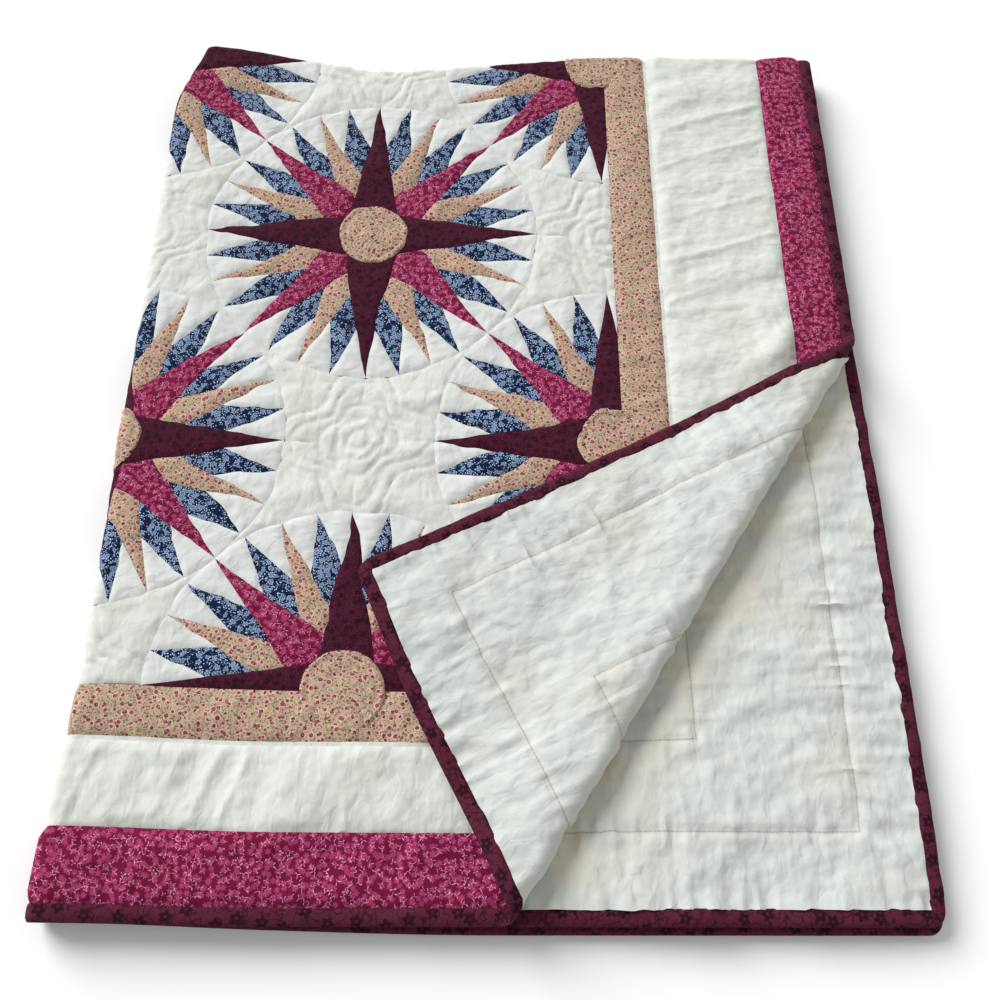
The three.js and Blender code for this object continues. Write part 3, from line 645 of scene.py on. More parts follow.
def disc_cloth():
    """The round patches on the stars' middles, a little uneven, turned under at their edge."""
    cloth = Cloth()
    for number, (i, j) in enumerate(star_places()):
        angles = np.radians(np.arange(0, 360, 6))
        wobble = 1 + 0.018 * np.sin(2 * angles + number) + 0.010 * np.sin(5 * angles + 2.3 * number)
        wobble = wobble + 0.010 * np.abs(np.sin(4.5 * angles + number)) * (1 + np.sin(angles + 1.7 * number))
        radius = DISC_RADIUS * wobble
        outline = [(i * CELL + r * math.cos(t), j * CELL + r * math.sin(t)) for r, t in zip(radius, angles)]
        uv, triangles, distance = flat_mesh(outline, is_shown_face, FINE * 0.8)
        rolled = 0.0010 * bell(distance, 0.003, 0.002) - 0.0012 * bell(distance, 0.0075, 0.0022)
        around = np.arctan2(uv[:, 1] - j * CELL, uv[:, 0] - i * CELL) * DISC_RADIUS
        pleats = noise(around, number + 0 * around, 0.008, 35) * np.exp(-distance / 0.008)
        rolled = rolled + 0.0011 * pleats * smooth(0, 0.002, distance)
        upper = puffed(distance, 0.003, CROWN - 0.0002, CROWN + DISC_RISE) + rolled
        upper = upper + 1.5 * face_ripple(uv[:, 0], uv[:, 1]) * smooth(0, 0.01, distance)
        cloth.add(uv, triangles, upper, CLOTH, 40 * number, (0.19 * number, 0.11 * number))
    return cloth


# The borders

def seam_place(ring):
    """How far out the seam outside the first borders lies, at the sides and at the ends."""
    return FIELD[0] + sum(SIDE_BORDERS[:ring]), FIELD[1] + sum(END_BORDERS[:ring])


def pucker(along, distance, seed):
    """Gathers that run in from a seam and die away."""
    crisp = (1 - np.abs(noise(along, 0.22 * distance, 0.017, seed))) ** 3
    small = noise(along, 0.3 * distance, 0.010, seed + 5)
    gathered = GATHER["crisp"] * crisp + GATHER["small"] * small
    return gathered * np.exp(-distance / GATHER["reach"])


def with_lip(number, strip):
    """A strip cut in two along its inner seam, where the cream cloth stands up as a narrow lip."""
    (left, right), (far, near) = strip
    cut = (left, right, far, near)[number] + (1, -1, 1, -1)[number] * sizes().lip
    is_side = number < 2
    low = ((left, cut), (far, near)) if is_side else ((left, right), (far, cut))
    high = ((cut, right), (far, near)) if is_side else ((left, right), (cut, near))
    return (low, high) if number in (0, 2) else (high, low)


def border_cloth(ring, soft, seed):
    """Four strips round the quilt: the side ones run between the end ones."""
    outer = seam_place(ring + 1)
    inner = seam_place(ring) if ring else FIELD_EDGE
    cloth = Cloth()
    strips = [
        ((inner[0], outer[0]), (-inner[1], inner[1])),
        ((-outer[0], -inner[0]), (-inner[1], inner[1])),
        ((-outer[0], outer[0]), (inner[1], outer[1])),
        ((-outer[0], outer[0]), (-outer[1], -inner[1])),
    ]
    if ring == 1:
        strips = [part for number, strip in enumerate(strips) for part in with_lip(number, strip)]
    for number, ((left, right), (far, near)) in enumerate(strips):
        outline = [(left, far), (right, far), (right, near), (left, near)]
        uv, triangles, distance = flat_mesh(outline, is_shown_face)
        u, v = uv[:, 0], uv[:, 1]
        is_side = right - left < near - far
        along, across = (v, u) if is_side else (u, v)
        low, high = (left, right) if is_side else (far, near)
        from_seam = np.minimum(across - low, high - across)
        gathers = pucker(along, across - low, seed) + pucker(along, high - across, seed + 1)
        slanted = along + 0.35 * across
        folds = (1 - np.abs(noise(slanted, 0.16 * across, 0.030, seed + 2))) ** 2
        folds = soft * (folds + 0.6 * noise(slanted, 0.3 * across, 0.019, seed + 3)) * smooth(0, 0.012, from_seam)
        upper = puffed(distance, 0.006) + (0.8 * gathers + folds) * smooth(0, 0.003, from_seam)
        upper = np.maximum(upper, SEAM) + face_ripple(u, v) * smooth(0, 0.01, distance)
        turn = 90 if is_side else 0
        cloth.add(uv, triangles, upper, CLOTH, turn, (0.29 * number, 0.17 * number))
    return cloth


# The backing and the binding

def backing_cloth():
    cloth = Cloth()
    outline = [(-BODY[0], -BODY[1]), (BODY[0], -BODY[1]), (BODY[0], BODY[1]), (-BODY[0], BODY[1])]
    uv, triangles, _ = flat_mesh(outline, is_shown_back, BACK_FINE, BACK_COARSE)
    u, v = np.abs(uv[:, 0]), np.abs(uv[:, 1])
    height = np.full(len(uv), BACK)
    for ring in (2, 1):
        past_u, past_v = u - seam_place(ring)[0], v - seam_place(ring)[1]
        along = np.where(past_u > past_v, uv[:, 1], uv[:, 0])
        to_seam = np.abs(np.maximum(past_u, past_v))
        height = height + 0.0021 * bell(to_seam, 0, 0.0038) - 1.9 * pucker(along, to_seam, 71 + ring)
    to_edge = np.minimum(BODY[0] - u, BODY[1] - v)
    along = np.where(BODY[0] - u < BODY[1] - v, uv[:, 1], uv[:, 0])
    height = height - 1.7 * pucker(along, to_edge, 81)
    slanted = uv[:, 0] + 0.4 * uv[:, 1]
    creased = 1 - 2 * np.abs(noise(slanted, uv[:, 1], 0.045, 84))
    broad = noise(slanted, 0.5 * uv[:, 1], 0.030, 83) + 0.6 * creased
    height = height + 0.0010 * broad + 1.2 * face_ripple(uv[:, 0], uv[:, 1])
    cloth.add(uv, triangles, np.minimum(height, BACK_INNERMOST) + CLOTH, CLOTH)
    return cloth


BINDING_PROFILE = (  # how far out from the body and how high over the quilt's middle
    (-0.0010, 0.0021), (0.0004, 0.0031), (0.0035, 0.0036), (0.0075, 0.0036), (0.0115, 0.0029), (0.0140, 0.0015),
    (0.0150, 0.0000), (0.0140, -0.0015), (0.0115, -0.0028), (0.0075, -0.0034), (0.0035, -0.0034),
    (0.0004, -0.0030), (-0.0010, -0.0021),
)


def binding_stations():
    """Points along the body's edge with their outward direction and length from the start."""
    corners = [(-1, -1), (1, -1), (1, 1), (-1, 1)]
    stations = []
    for (su, sv), (nu, nv) in zip(corners, corners[1:] + corners[:1]):
        start, end = np.array((su * BODY[0], sv * BODY[1])), np.array((nu * BODY[0], nv * BODY[1]))
        run = (end - start) / np.linalg.norm(end - start)
        outward = np.array((run[1], -run[0]))
        for k in range(CORNER_STEPS):
            t = QUARTER_TURN * k / CORNER_STEPS
            stations.append((start, outward * math.sin(t) - run * math.cos(t)))
        length = float(np.linalg.norm(end - start))
        steps = int(length / EDGE_STEP)
        stations += [(start + (end - start) * k / steps, outward) for k in range(steps + 1)]
    return stations


def binding_cloth():
    stations = binding_stations()
    base = np.array([s[0] for s in stations])
    outward = np.array([s[1] for s in stations])
    size = len(BINDING_PROFILE)
    out = np.array([p[0] for p in BINDING_PROFILE])
    high = np.array([p[1] for p in BINDING_PROFILE])
    uv = base[:, None, :] + outward[:, None, :] * out[None, :, None]
    edge = uv[:, size // 2, :]
    length = np.concatenate(([0], np.cumsum(np.linalg.norm(np.diff(edge, axis=0), axis=1))))
    soft = 1 + 0.16 * noise(length[:, None], out[None, :] * 3, 0.016, 91)
    points = place(uv[..., 0], uv[..., 1], high[None, :] * soft).reshape(-1, 3)
    around = np.concatenate(([0], np.cumsum(np.hypot(np.diff(out), np.diff(high)))))
    flat = np.stack(np.broadcast_arrays(length[:, None], around[None, :]), axis=-1).reshape(-1, 2)
    # Four points of each face: a and b at one station, d and c at the next
    i, k = np.meshgrid(np.arange(len(stations)), np.arange(size), indexing="ij")
    here, following = i * size, (i + 1) % len(stations) * size
    a, b = (here + k).ravel(), (here + (k + 1) % size).ravel()
    c, d = (following + (k + 1) % size).ravel(), (following + k).ravel()
    faces = np.concatenate((np.stack((a, d, c), axis=1), np.stack((a, c, b), axis=1)))
    cloth = Cloth()
    cloth.points, cloth.faces, cloth.maps = [points], [faces], [flat]
    cloth.area = float(length[-1]) * float(around[-1]) / 2
    return cloth


# Finishes

class Finish:
    """A cloth's material, built from nodes that read its own flat map in millimetres."""

    def __init__(self, name, roughness=0.9, sheen=0.25):
        self.material = bpy.data.materials.new(name)
        self.material.use_nodes = True
        self.tree = self.material.node_tree
        self.shader = next(n for n in self.tree.nodes if n.type == "BSDF_PRINCIPLED")
        self.shader.inputs["Roughness"].default_value = roughness
        self.shader.inputs["Specular IOR Level"].default_value = 0.12
        self.shader.inputs["Sheen Weight"].default_value = sheen
        self.shader.inputs["Sheen Roughness"].default_value = 0.5
        flat = self.add("ShaderNodeUVMap", uv_map="cloth")
        self.flat = self.vector("SCALE", flat.outputs[0], scale=1000)

    def add(self, kind, inputs=(), **settings):
        node = self.tree.nodes.new(kind)
        for key, value in settings.items():
            setattr(node, key, value)
        for key, value in dict(inputs).items():
            if isinstance(value, bpy.types.NodeSocket):
                self.tree.links.new(value, node.inputs[key])
            else:
                node.inputs[key].default_value = value
        return node

    def vector(self, operation, a, b=(0, 0, 0), scale=None):
        inputs = {0: a} if scale is not None else {0: a, 1: b}
        node = self.add("ShaderNodeVectorMath", inputs, operation=operation)
        if scale is not None:
            node.inputs["Scale"].default_value = scale
        return node.outputs["Value" if operation in ("LENGTH", "DISTANCE") else "Vector"]

    def sum(self, operation, a, b=0.0, c=0.0):
        return self.add("ShaderNodeMath", {0: a, 1: b, 2: c}, operation=operation).outputs[0]

    def times(self, a, b):
        return self.sum("MULTIPLY", a, b)

    def step(self, value, low, high):
        """0 below low and 1 above high, smooth between; the other way round if low is above high."""
        inputs = {"Value": value, "From Min": low, "From Max": high}
        if low > high:
            inputs.update({"From Min": high, "From Max": low, "To Min": 1.0, "To Max": 0.0})
        return self.add("ShaderNodeMapRange", inputs, interpolation_type="SMOOTHSTEP").outputs[0]

    def noise(self, size, detail=2.0, at=None, distort=0.0, output=0):
        inputs = {"Vector": at or self.flat, "Scale": 1 / size, "Detail": detail, "Distortion": distort}
        return self.add("ShaderNodeTexNoise", inputs, noise_dimensions="2D").outputs[output]

    def cells(self, size, at=None, feature="F1", random=1.0):
        inputs = {"Vector": at or self.flat, "Scale": 1 / size, "Randomness": random}
        return self.add("ShaderNodeTexVoronoi", inputs, voronoi_dimensions="2D", feature=feature)

    def mix(self, amount, a, b):
        node = self.add("ShaderNodeMix", {0: amount}, data_type="RGBA")
        for key, value in ((6, a), (7, b)):
            if isinstance(value, bpy.types.NodeSocket):
                self.tree.links.new(value, node.inputs[key])
            else:
                node.inputs[key].default_value = (*value, 1) if len(value) == 3 else value
        return node.outputs[2]

    def scattered(self, size, arms, random=1.0, at=None):
        """Round scattered middles: the distance, arms times the angle, and a chance number."""
        at = at or self.flat
        cells = self.cells(size, at, random=random)
        spread = self.vector("SUBTRACT", at, cells.outputs["Position"])
        parts = self.add("ShaderNodeSeparateXYZ", {0: spread})
        angle = self.sum("ARCTAN2", parts.outputs[1], parts.outputs[0])
        hue = self.add("ShaderNodeSeparateColor", {0: cells.outputs["Color"]})
        turn = self.sum("MULTIPLY_ADD", angle, float(arms), self.times(hue.outputs[0], 6.28))
        return self.vector("LENGTH", spread), turn, hue.outputs[1]

    def flower(self, size, petals, reach, random=1.0, at=None):
        """Scattered flowers: how far out of the middle, how far out of the petals, and a chance number."""
        away, turn, kind = self.scattered(size, petals, random, at)
        lobe = self.sum("MULTIPLY_ADD", self.sum("COSINE", turn), 0.2, 0.8)
        radius = self.sum("DIVIDE", away, float(reach))
        return radius, self.sum("DIVIDE", radius, lobe), kind

    def twigs(self, size, reach, thick, at=None):
        """1 on scattered twigs of three thin arms."""
        away, turn, _ = self.scattered(size, 1.5, at=at)
        off = self.times(self.sum("ABSOLUTE", self.sum("SINE", turn)), away)
        return self.times(self.step(off, thick, 0.5 * thick), self.step(away, reach, 0.85 * reach))

    def weave(self):
        """Crossed threads, with slubs here and there."""
        parts = self.add("ShaderNodeSeparateXYZ", {0: self.flat})
        warp = self.sum("SINE", self.times(parts.outputs[0], THREAD_TURNS))
        weft = self.sum("SINE", self.times(parts.outputs[1], THREAD_TURNS))
        return self.sum("MULTIPLY_ADD", self.times(warp, weft), 0.5, self.noise(2.2, 3.0))

    def finished(self, colour, weave=0.25, creases=0.6):
        stretched = self.add("ShaderNodeMapping", {"Vector": self.flat, "Scale": (1.0, 0.6, 1.0)})
        soft_folds = self.noise(13.0, 2.0, stretched.outputs[0], 0.4)
        wrinkles = self.sum("MULTIPLY_ADD", self.noise(38.0, 2.0), 2.6, soft_folds)
        soft = self.add("ShaderNodeBump", {"Height": wrinkles, "Distance": 0.0022, "Strength": creases})
        fine = {"Height": self.weave(), "Distance": 0.00025, "Strength": weave, "Normal": soft.outputs[0]}
        self.tree.links.new(self.add("ShaderNodeBump", fine).outputs[0], self.shader.inputs["Normal"])
        self.tree.links.new(colour, self.shader.inputs["Base Color"])
        return self.material


def navy_print():
    """Dark blue with pale roses, leaves and crisp small dots."""
    f = Finish("navy_rose_print", sheen=0.02)
    near, petal, kind = f.flower(7.6, 5, 3.4)
    rings = f.sum("PINGPONG", f.sum("MULTIPLY_ADD", f.noise(2.0), 0.5, near), 0.30)
    rose = f.mix(f.step(rings, 0.12, 0.24), colours().navy_light, colours().navy_rose)
    rose = f.mix(f.step(petal, 0.74, 0.88), rose, colours().navy_rose)
    shown = f.times(f.step(petal, 1.0, 0.92), f.step(kind, 0.30, 0.32))
    leaf = f.times(f.step(f.noise(2.4, 0.0), 0.60, 0.66), f.step(petal, 1.05, 1.2))
    colour = f.mix(leaf, colours().navy, colours().navy_light)
    colour = f.mix(shown, colour, rose)
    dots, _, _ = f.flower(2.9, 4, 0.62)
    dotted = f.times(f.step(dots, 1.0, 0.7), f.step(petal, 1.1, 1.25))
    return f.finished(f.mix(dotted, colour, colours().navy_dot))


def peach_print(name):
    """Peach tan with dull red berries in pale crescents, on green and straw vines."""
    f = Finish(name, sheen=0.05)
    ground = f.mix(f.step(f.noise(9.0, 1.0), 0.42, 0.58), colours().peach, colours().peach_straw)
    lines = f.sum("ABSOLUTE", f.sum("SUBTRACT", f.noise(4.6, 1.0, distort=0.8), 0.5))
    leaves = f.times(f.step(lines, 0.07, 0.03), f.step(f.noise(3.6, 0.0), 0.42, 0.54))
    colour = f.mix(f.times(leaves, 0.9), ground, colours().peach_leaf)
    vines = f.sum("ABSOLUTE", f.sum("SUBTRACT", f.noise(6.0, 2.0, distort=0.6), 0.47))
    colour = f.mix(f.times(f.step(vines, 0.028, 0.010), 0.8), colour, colours().peach_vine)
    flecks = f.step(f.noise(1.7, 0.0, distort=0.4), 0.66, 0.72)
    colour = f.mix(f.times(flecks, 0.8), colour, colours().peach_berry)
    away, _, kind = f.flower(8.0, 3, 3.3)
    near = f.sum("DIVIDE", away, f.sum("MULTIPLY_ADD", kind, 0.5, 0.58))
    open_side = f.step(f.noise(4.0, 0.0), 0.42, 0.52)
    colour = f.mix(f.times(f.step(near, 1.0, 0.88), open_side), colour, colours().peach_rose)
    blotch = f.mix(f.step(f.noise(1.8, 1.0), 0.44, 0.60), colours().peach_berry, colours().peach_blush)
    return f.finished(f.mix(f.step(near, 0.70, 0.58), colour, blotch))


def crimson_print(name):
    """Crimson with ringed roses and separate pale twigs."""
    f = Finish(name, sheen=0.02)
    _, petal, _ = f.flower(6.8, 6, 3.2)
    rings = f.sum("PINGPONG", f.sum("MULTIPLY_ADD", f.noise(1.8), 0.5, petal), 0.25)
    rose = f.mix(f.step(rings, 0.05, 0.16), colours().crimson, colours().crimson_rose)
    ground = f.mix(f.step(petal, 1.05, 0.9), colours().crimson_deep, rose)
    bent = f.vector("ADD", f.flat, f.vector("SCALE", f.noise(3.6, 1.0, output=1), scale=3.0))
    twig = f.sum("MAXIMUM", f.twigs(8.5, 3.6, 0.75, bent), f.twigs(13.0, 3.0, 0.6, bent))
    return f.finished(f.mix(twig, ground, colours().crimson_line))


def burgundy_print(name, spacing, ground, deep):
    """Burgundy with small darker flowers and twigs."""
    f = Finish(name, sheen=0.0)
    near, petal, _ = f.flower(spacing, 5, spacing * 0.34, 0.85)
    flower = f.times(f.step(petal, 1.0, 0.8), f.step(near, 0.12, 0.24))
    twig = f.step(f.sum("ABSOLUTE", f.sum("SUBTRACT", f.noise(spacing * 0.5, 1.0), 0.5)), 0.05, 0.02)
    dark = f.sum("MAXIMUM", flower, f.times(twig, 0.7))
    speck = f.step(f.noise(2.0, 1.0), 0.52, 0.66)
    lit = f.mix(f.times(speck, 0.6), ground, colours().burgundy_light)
    return f.finished(f.mix(f.times(dark, 0.85), lit, deep))


def seam_lines(f):
    """Two masks round the borders' two inner seams: the dashes of the thread, and the groove, which is darkened
    as painted shade.
    """
    parts = f.add("ShaderNodeSeparateXYZ", {0: f.flat})
    across, along = (f.sum("ABSOLUTE", parts.outputs[k]) for k in (0, 1))
    nearest = None
    for ring in (1, 2):
        past_u = f.sum("SUBTRACT", across, 1000 * seam_place(ring)[0])
        past_v = f.sum("SUBTRACT", along, 1000 * seam_place(ring)[1])
        away = f.sum("ABSOLUTE", f.sum("MAXIMUM", past_u, past_v))
        nearest = away if nearest is None else f.sum("MINIMUM", nearest, away)
    run = f.times(f.sum("ADD", parts.outputs[0], parts.outputs[1]), 6.283 / 4.4)
    dashes = f.sum("MULTIPLY_ADD", f.step(f.sum("SINE", run), -0.5, 0.0), 0.4, 0.6)
    return f.times(f.step(nearest, 1.0, 0.4), dashes), f.step(nearest, 3.6, 0.3)


def crease_tint_mask(f):
    """1 along the turned corner's crease, on the corner itself and on the layer under it."""
    parts = f.add("ShaderNodeSeparateXYZ", {0: f.flat})
    across, along = (f.sum("ABSOLUTE", parts.outputs[k]) for k in (0, 1))
    past_u = f.times(f.sum("SUBTRACT", across, 1000 * CREASE_FOOT[0]), float(CREASE_OUT[0]))
    past_v = f.times(f.sum("ADD", along, 1000 * CREASE_FOOT[1]), -float(CREASE_OUT[1]))
    away = f.sum("ABSOLUTE", f.sum("ADD", past_u, past_v))
    is_under = f.sum("LESS_THAN", parts.outputs[1], 0.0)
    reach = f.sum("MULTIPLY_ADD", is_under, 55.0, 38.0)
    return f.times(f.step(f.sum("DIVIDE", away, reach), 1.0, 0.1), f.step(f.noise(60.0, 3.0), 0.28, 0.60))


def muslin():
    """The backing: plain muslin with its quilted lines and painted shade in their grooves, warmer along the
    crease.
    """
    f, shade = cotton_ground("muslin", colours().muslin, 0.35)
    # A yellower, lighter tone in patches along the crease, reaching further over the layer under the turned
    # corner.
    shade = f.mix(f.times(crease_tint_mask(f), 0.55), shade, colours().crease_tint)
    thread, groove = seam_lines(f)
    # Painted shade: the quilted grooves on the back are darkened towards the same tone as the soiling.
    shade = f.mix(f.times(groove, 0.3), shade, colours().soil_and_shade)
    return f.finished(f.mix(f.times(thread, 0.5), shade, colours().stitch), 0.3, 0.7)


def plain_cotton(name, colour, soil_and_shade=0.25):
    f, shade = cotton_ground(name, colour, soil_and_shade)
    return f.finished(shade, 0.3, 0.7)


def cotton_ground(name, colour, soil_and_shade):
    """Plain cotton with slubs and light soiling: the finish and its colour."""
    f = Finish(name, sheen=0.15)
    slub = f.add("ShaderNodeMapping", {"Vector": f.flat, "Scale": (0.12, 1.6, 1.0)})
    threads = f.step(f.noise(1.6, 2.0, slub.outputs[0]), 0.62, 0.8)
    shade = f.mix(f.times(threads, 0.2), colour, colours().thread)
    cloud = f.step(f.noise(120.0, 4.0), 0.5, 0.8)
    return f, f.mix(f.times(cloud, soil_and_shade), shade, colours().soil_and_shade)


# Putting it together

def colour_property(name, note, value):
    return FloatVectorProperty(name=name, description=note, default=value, subtype="COLOR", size=3, min=0, max=1)


def size_property(name, note, value):
    return FloatProperty(name=name, description=note, default=value, unit="LENGTH", precision=5, min=0, max=0.02)


class QuiltSizes(bpy.types.PropertyGroup):
    rumple: size_property("Rumples", "Height of the finest creases of the cloth that shows", 0.001)
    ripple: size_property("Ripples", "Height of the small puckers in the pieced face", 0.0005)
    quilting: size_property("Quilting", "Depth of the quilted rose in the plain ground", 0.0018)
    lip: size_property("Lip", "Width of the cream lip beside the inner border", 0.0042)


class QuiltColours(bpy.types.PropertyGroup):
    navy: colour_property("Navy", "Ground of the blue rays", (0.003, 0.010, 0.040))
    navy_dot: colour_property("White dots", "Small dots of the blue print", (0.637, 0.690, 0.761))
    navy_light: colour_property("Blue", "Outer petals and leaves of the blue print", (0.066, 0.146, 0.319))
    navy_rose: colour_property("Pale rose", "Roses and dots of the blue print", (0.336, 0.434, 0.566))
    peach: colour_property("Peach", "Ground of the peach print", (0.497, 0.333, 0.253))
    peach_straw: colour_property("Straw", "Yellower places of the peach print", (0.437, 0.353, 0.223))
    peach_vine: colour_property("Vine", "Thin straw lines of the peach print", (0.602, 0.496, 0.319))
    peach_leaf: colour_property("Leaf", "Leaves of the peach print", (0.133, 0.133, 0.075))
    peach_rose: colour_property("Pink", "Pale rings round the berries of the peach print", (0.707, 0.449, 0.401))
    peach_berry: colour_property("Berry", "Berries of the peach print", (0.15, 0.022, 0.034))
    peach_blush: colour_property("Blush", "Lit sides of the berries", (0.407, 0.124, 0.142))
    crimson: colour_property("Crimson", "Roses of the crimson print", (0.249, 0.015, 0.069))
    crimson_rose: colour_property("Rose", "Light petals of the crimson print", (0.416, 0.059, 0.164))
    crimson_deep: colour_property("Deep crimson", "Ground between the crimson roses", (0.149, 0.005, 0.036))
    crimson_line: colour_property("Pink twigs", "Short twigs of the crimson print", (0.66, 0.29, 0.42))
    burgundy: colour_property("Burgundy", "Ground of the burgundy print", (0.053, 0.006, 0.019))
    binding: colour_property("Binding", "Ground of the edge binding's print", (0.085, 0.013, 0.030))
    binding_deep: colour_property("Binding flowers", "Flowers of the edge binding's print", (0.014, 0.002, 0.007))
    burgundy_light: colour_property("Light burgundy", "Specks of the burgundy print", (0.102, 0.016, 0.039))
    burgundy_deep: colour_property("Deep burgundy", "Flowers of the burgundy print", (0.015, 0.002, 0.007))
    white: colour_property("White", "Wedges between the rays", (0.650, 0.669, 0.646))
    cream: colour_property("Cream", "Ground and middle border", (0.647, 0.672, 0.628))
    muslin: colour_property("Muslin", "Backing", (0.590, 0.617, 0.588))
    thread: colour_property("Thread", "Darker threads of plain cotton", (0.545, 0.535, 0.487))
    stitch: colour_property("Stitches", "Quilting thread as it shades the back", (0.195, 0.195, 0.175))
    # A yellower, lighter tone along the turned corner's crease, wider on the layer under the corner.
    crease_tint: colour_property("Stain", "Yellowing along the crease", (0.759, 0.681, 0.506))
    # Besides random soiling, this tone is mixed into the back's quilted grooves as painted shade.
    soil_and_shade: colour_property("Aged", "Soiling of plain cotton", (0.584, 0.535, 0.428))


def declare(piece, nodes):
    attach(piece, "root")
    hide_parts(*nodes)


class QUILT_OT_stars(bpy.types.Operator):
    """The rays of the compass stars and the wedges between their tips."""

    bl_idname = "quilt.stars"
    bl_label = "Stars"

    def execute(self, context):
        cloths = star_cloths(("burgundy", "crimson", "peach", "navy", "white"))
        ray_colours = (colours().burgundy, colours().burgundy_deep)
        looks = {
            "burgundy": (
                "burgundy_rays", burgundy_print("burgundy_ray_print", 11.0, *ray_colours), "burgundy_print",
            ),
            "crimson": ("crimson_rays", crimson_print("crimson_ray_print"), "crimson_print"),
            "peach": ("peach_rays", peach_print("peach_cherry_print"), "peach_print"),
            "navy": ("navy_rays", navy_print(), "burgundy_print"),
            "white": ("cream_wedges", plain_cotton("white_cotton", colours().white, 0.1), "cream_cotton"),
        }
        for kind, (name, material, slot) in looks.items():
            declare(cloths[kind].made(name, material), ["star_field"])
        return {"FINISHED"}


class QUILT_OT_ground(bpy.types.Operator):
    """The plain quilted ground between the stars."""

    bl_idname = "quilt.ground"
    bl_label = "Ground"

    def execute(self, context):
        cloth = ground_cloth()
        piece = cloth.made("cream_ground", plain_cotton("cream_cotton", colours().cream))
        declare(piece, ["star_field"])
        return {"FINISHED"}


class QUILT_OT_discs(bpy.types.Operator):
    """The round patches sewn over the stars' middles."""

    bl_idname = "quilt.discs"
    bl_label = "Centre discs"

    def execute(self, context):
        cloth = disc_cloth()
        piece = cloth.made("centre_discs", peach_print("peach_disc_print"))
        declare(piece, ["star_field"])
        return {"FINISHED"}


class QUILT_OT_borders(bpy.types.Operator):
    """The three borders of four strips each."""

    bl_idname = "quilt.borders"
    bl_label = "Borders"

    def execute(self, context):
        looks = (
            ("inner_border", peach_print("peach_border_print"), "peach_print", 0.0009),
            ("middle_border", plain_cotton("cream_border_cotton", colours().cream), "cream_cotton", 0.0022),
            ("outer_border", crimson_print("crimson_border_print"), "crimson_print", 0.0024),
        )
        for ring, (name, material, slot, soft) in enumerate(looks):
            cloth = border_cloth(ring, soft, 41 + 10 * ring)
            nodes = [f"{name}_{side}" for side in ("right", "left", "near", "far")]
            declare(cloth.made(name, material), nodes)
        return {"FINISHED"}


class QUILT_OT_backing(bpy.types.Operator):
    """The plain back, quilted along the borders' seams."""

    bl_idname = "quilt.backing"
    bl_label = "Backing"

    def execute(self, context):
        cloth = backing_cloth()
        piece = cloth.made("muslin_back", muslin())
        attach(piece, "root")
        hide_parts("backing")
        return {"FINISHED"}


class QUILT_OT_binding(bpy.types.Operator):
    """The folded strip sewn round the edge."""

    bl_idname = "quilt.binding"
    bl_label = "Binding"

    def execute(self, context):
        cloth = binding_cloth()
        print_colours = (colours().binding, colours().binding_deep)
        piece = cloth.made("edge_binding", burgundy_print("burgundy_binding_print", 22.0, *print_colours))
        declare(piece, ["binding"])
        return {"FINISHED"}


def point_camera():
    down, side, roll = (math.radians(CAMERA[k]) for k in ("down", "side", "roll"))
    forward = Vector((math.sin(side) * math.cos(down), math.cos(side) * math.cos(down), -math.sin(down)))
    right = Vector((math.cos(side), -math.sin(side), 0))
    up = right.cross(forward)
    across = right * math.cos(roll) + up * math.sin(roll)
    upward = up * math.cos(roll) - right * math.sin(roll)
    bpy.ops.object.camera_add(location=CAMERA["place"])
    camera = bpy.context.object
    camera.data.lens = CAMERA["lens"]
    camera.data.sensor_width = 36.0
    camera.rotation_euler = Matrix((across, upward, -forward)).transposed().to_euler()
    bpy.context.scene.camera = camera


def add_light(kind, place_at, strength, spread):
    bpy.ops.object.light_add(type=kind, location=place_at)
    light = bpy.context.object
    light.data.energy = strength
    if kind == "SUN":
        light.data.angle = math.radians(spread)
    else:
        light.data.size = spread
    light.rotation_euler = (-Vector(place_at)).to_track_quat("-Z", "Y").to_euler()


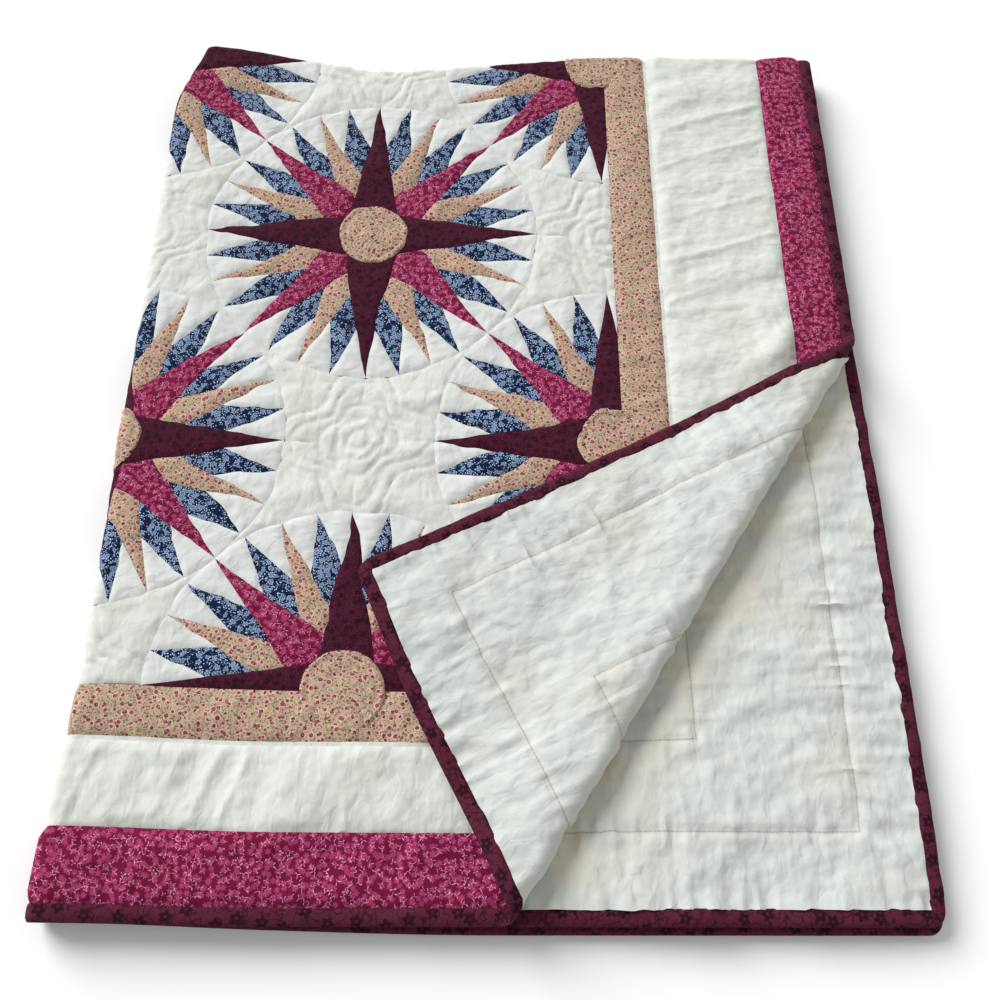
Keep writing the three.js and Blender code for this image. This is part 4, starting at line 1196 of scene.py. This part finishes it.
class QUILT_OT_stage(bpy.types.Operator):
    """The pale floor, the soft light and the camera."""

    bl_idname = "quilt.stage"
    bl_label = "Stage"

    def execute(self, context):
        bpy.ops.mesh.primitive_plane_add(size=30, location=(0, 0, -0.0005))
        floor = context.object
        floor.name = "floor"
        paper = bpy.data.materials.new("paper")
        paper.use_nodes = True
        paper.node_tree.nodes["Principled BSDF"].inputs["Base Color"].default_value = (0.93, 0.93, 0.93, 1)
        paper.node_tree.nodes["Principled BSDF"].inputs["Roughness"].default_value = 0.9
        floor.data.materials.append(paper)
        add_light("SUN", (-1.7, 1.6, 1.45), 3.85, 38)
        add_light("AREA", (1.8, -1.8, 2.6), 12, 3.0)
        world = bpy.data.worlds.new("studio")
        world.use_nodes = True
        world.node_tree.nodes["Background"].inputs[0].default_value = (1, 1, 1, 1)
        world.node_tree.nodes["Background"].inputs[1].default_value = 0.41
        context.scene.world = world
        context.scene.view_settings.view_transform = "Standard"
        point_camera()
        return {"FINISHED"}


OPERATORS = (
    QUILT_OT_backing, QUILT_OT_borders, QUILT_OT_ground, QUILT_OT_stars, QUILT_OT_discs, QUILT_OT_binding,
    QUILT_OT_stage,
)


class QUILT_PT_panel(bpy.types.Panel):
    """Lists the steps that make the quilt."""

    bl_label = "Quilt"
    bl_idname = "QUILT_PT_panel"
    bl_space_type = "VIEW_3D"
    bl_region_type = "UI"
    bl_category = "Quilt"

    def draw(self, context):
        for operator in OPERATORS:
            self.layout.operator(operator.bl_idname)


CLASSES = (QuiltSizes, QuiltColours, *OPERATORS, QUILT_PT_panel)


def register():
    for made in CLASSES:
        bpy.utils.register_class(made)
    bpy.types.Scene.quilt_sizes = PointerProperty(type=QuiltSizes)
    bpy.types.Scene.quilt_colours = PointerProperty(type=QuiltColours)


def unregister():
    del bpy.types.Scene.quilt_colours
    del bpy.types.Scene.quilt_sizes
    for made in reversed(CLASSES):
        bpy.utils.unregister_class(made)


def main():
    register()
    bpy.ops.object.select_all(action="DESELECT")
    for operator in OPERATORS:
        group, name = operator.bl_idname.split(".")
        getattr(getattr(bpy.ops, group), name)()


if __name__ == "__main__":
    main()
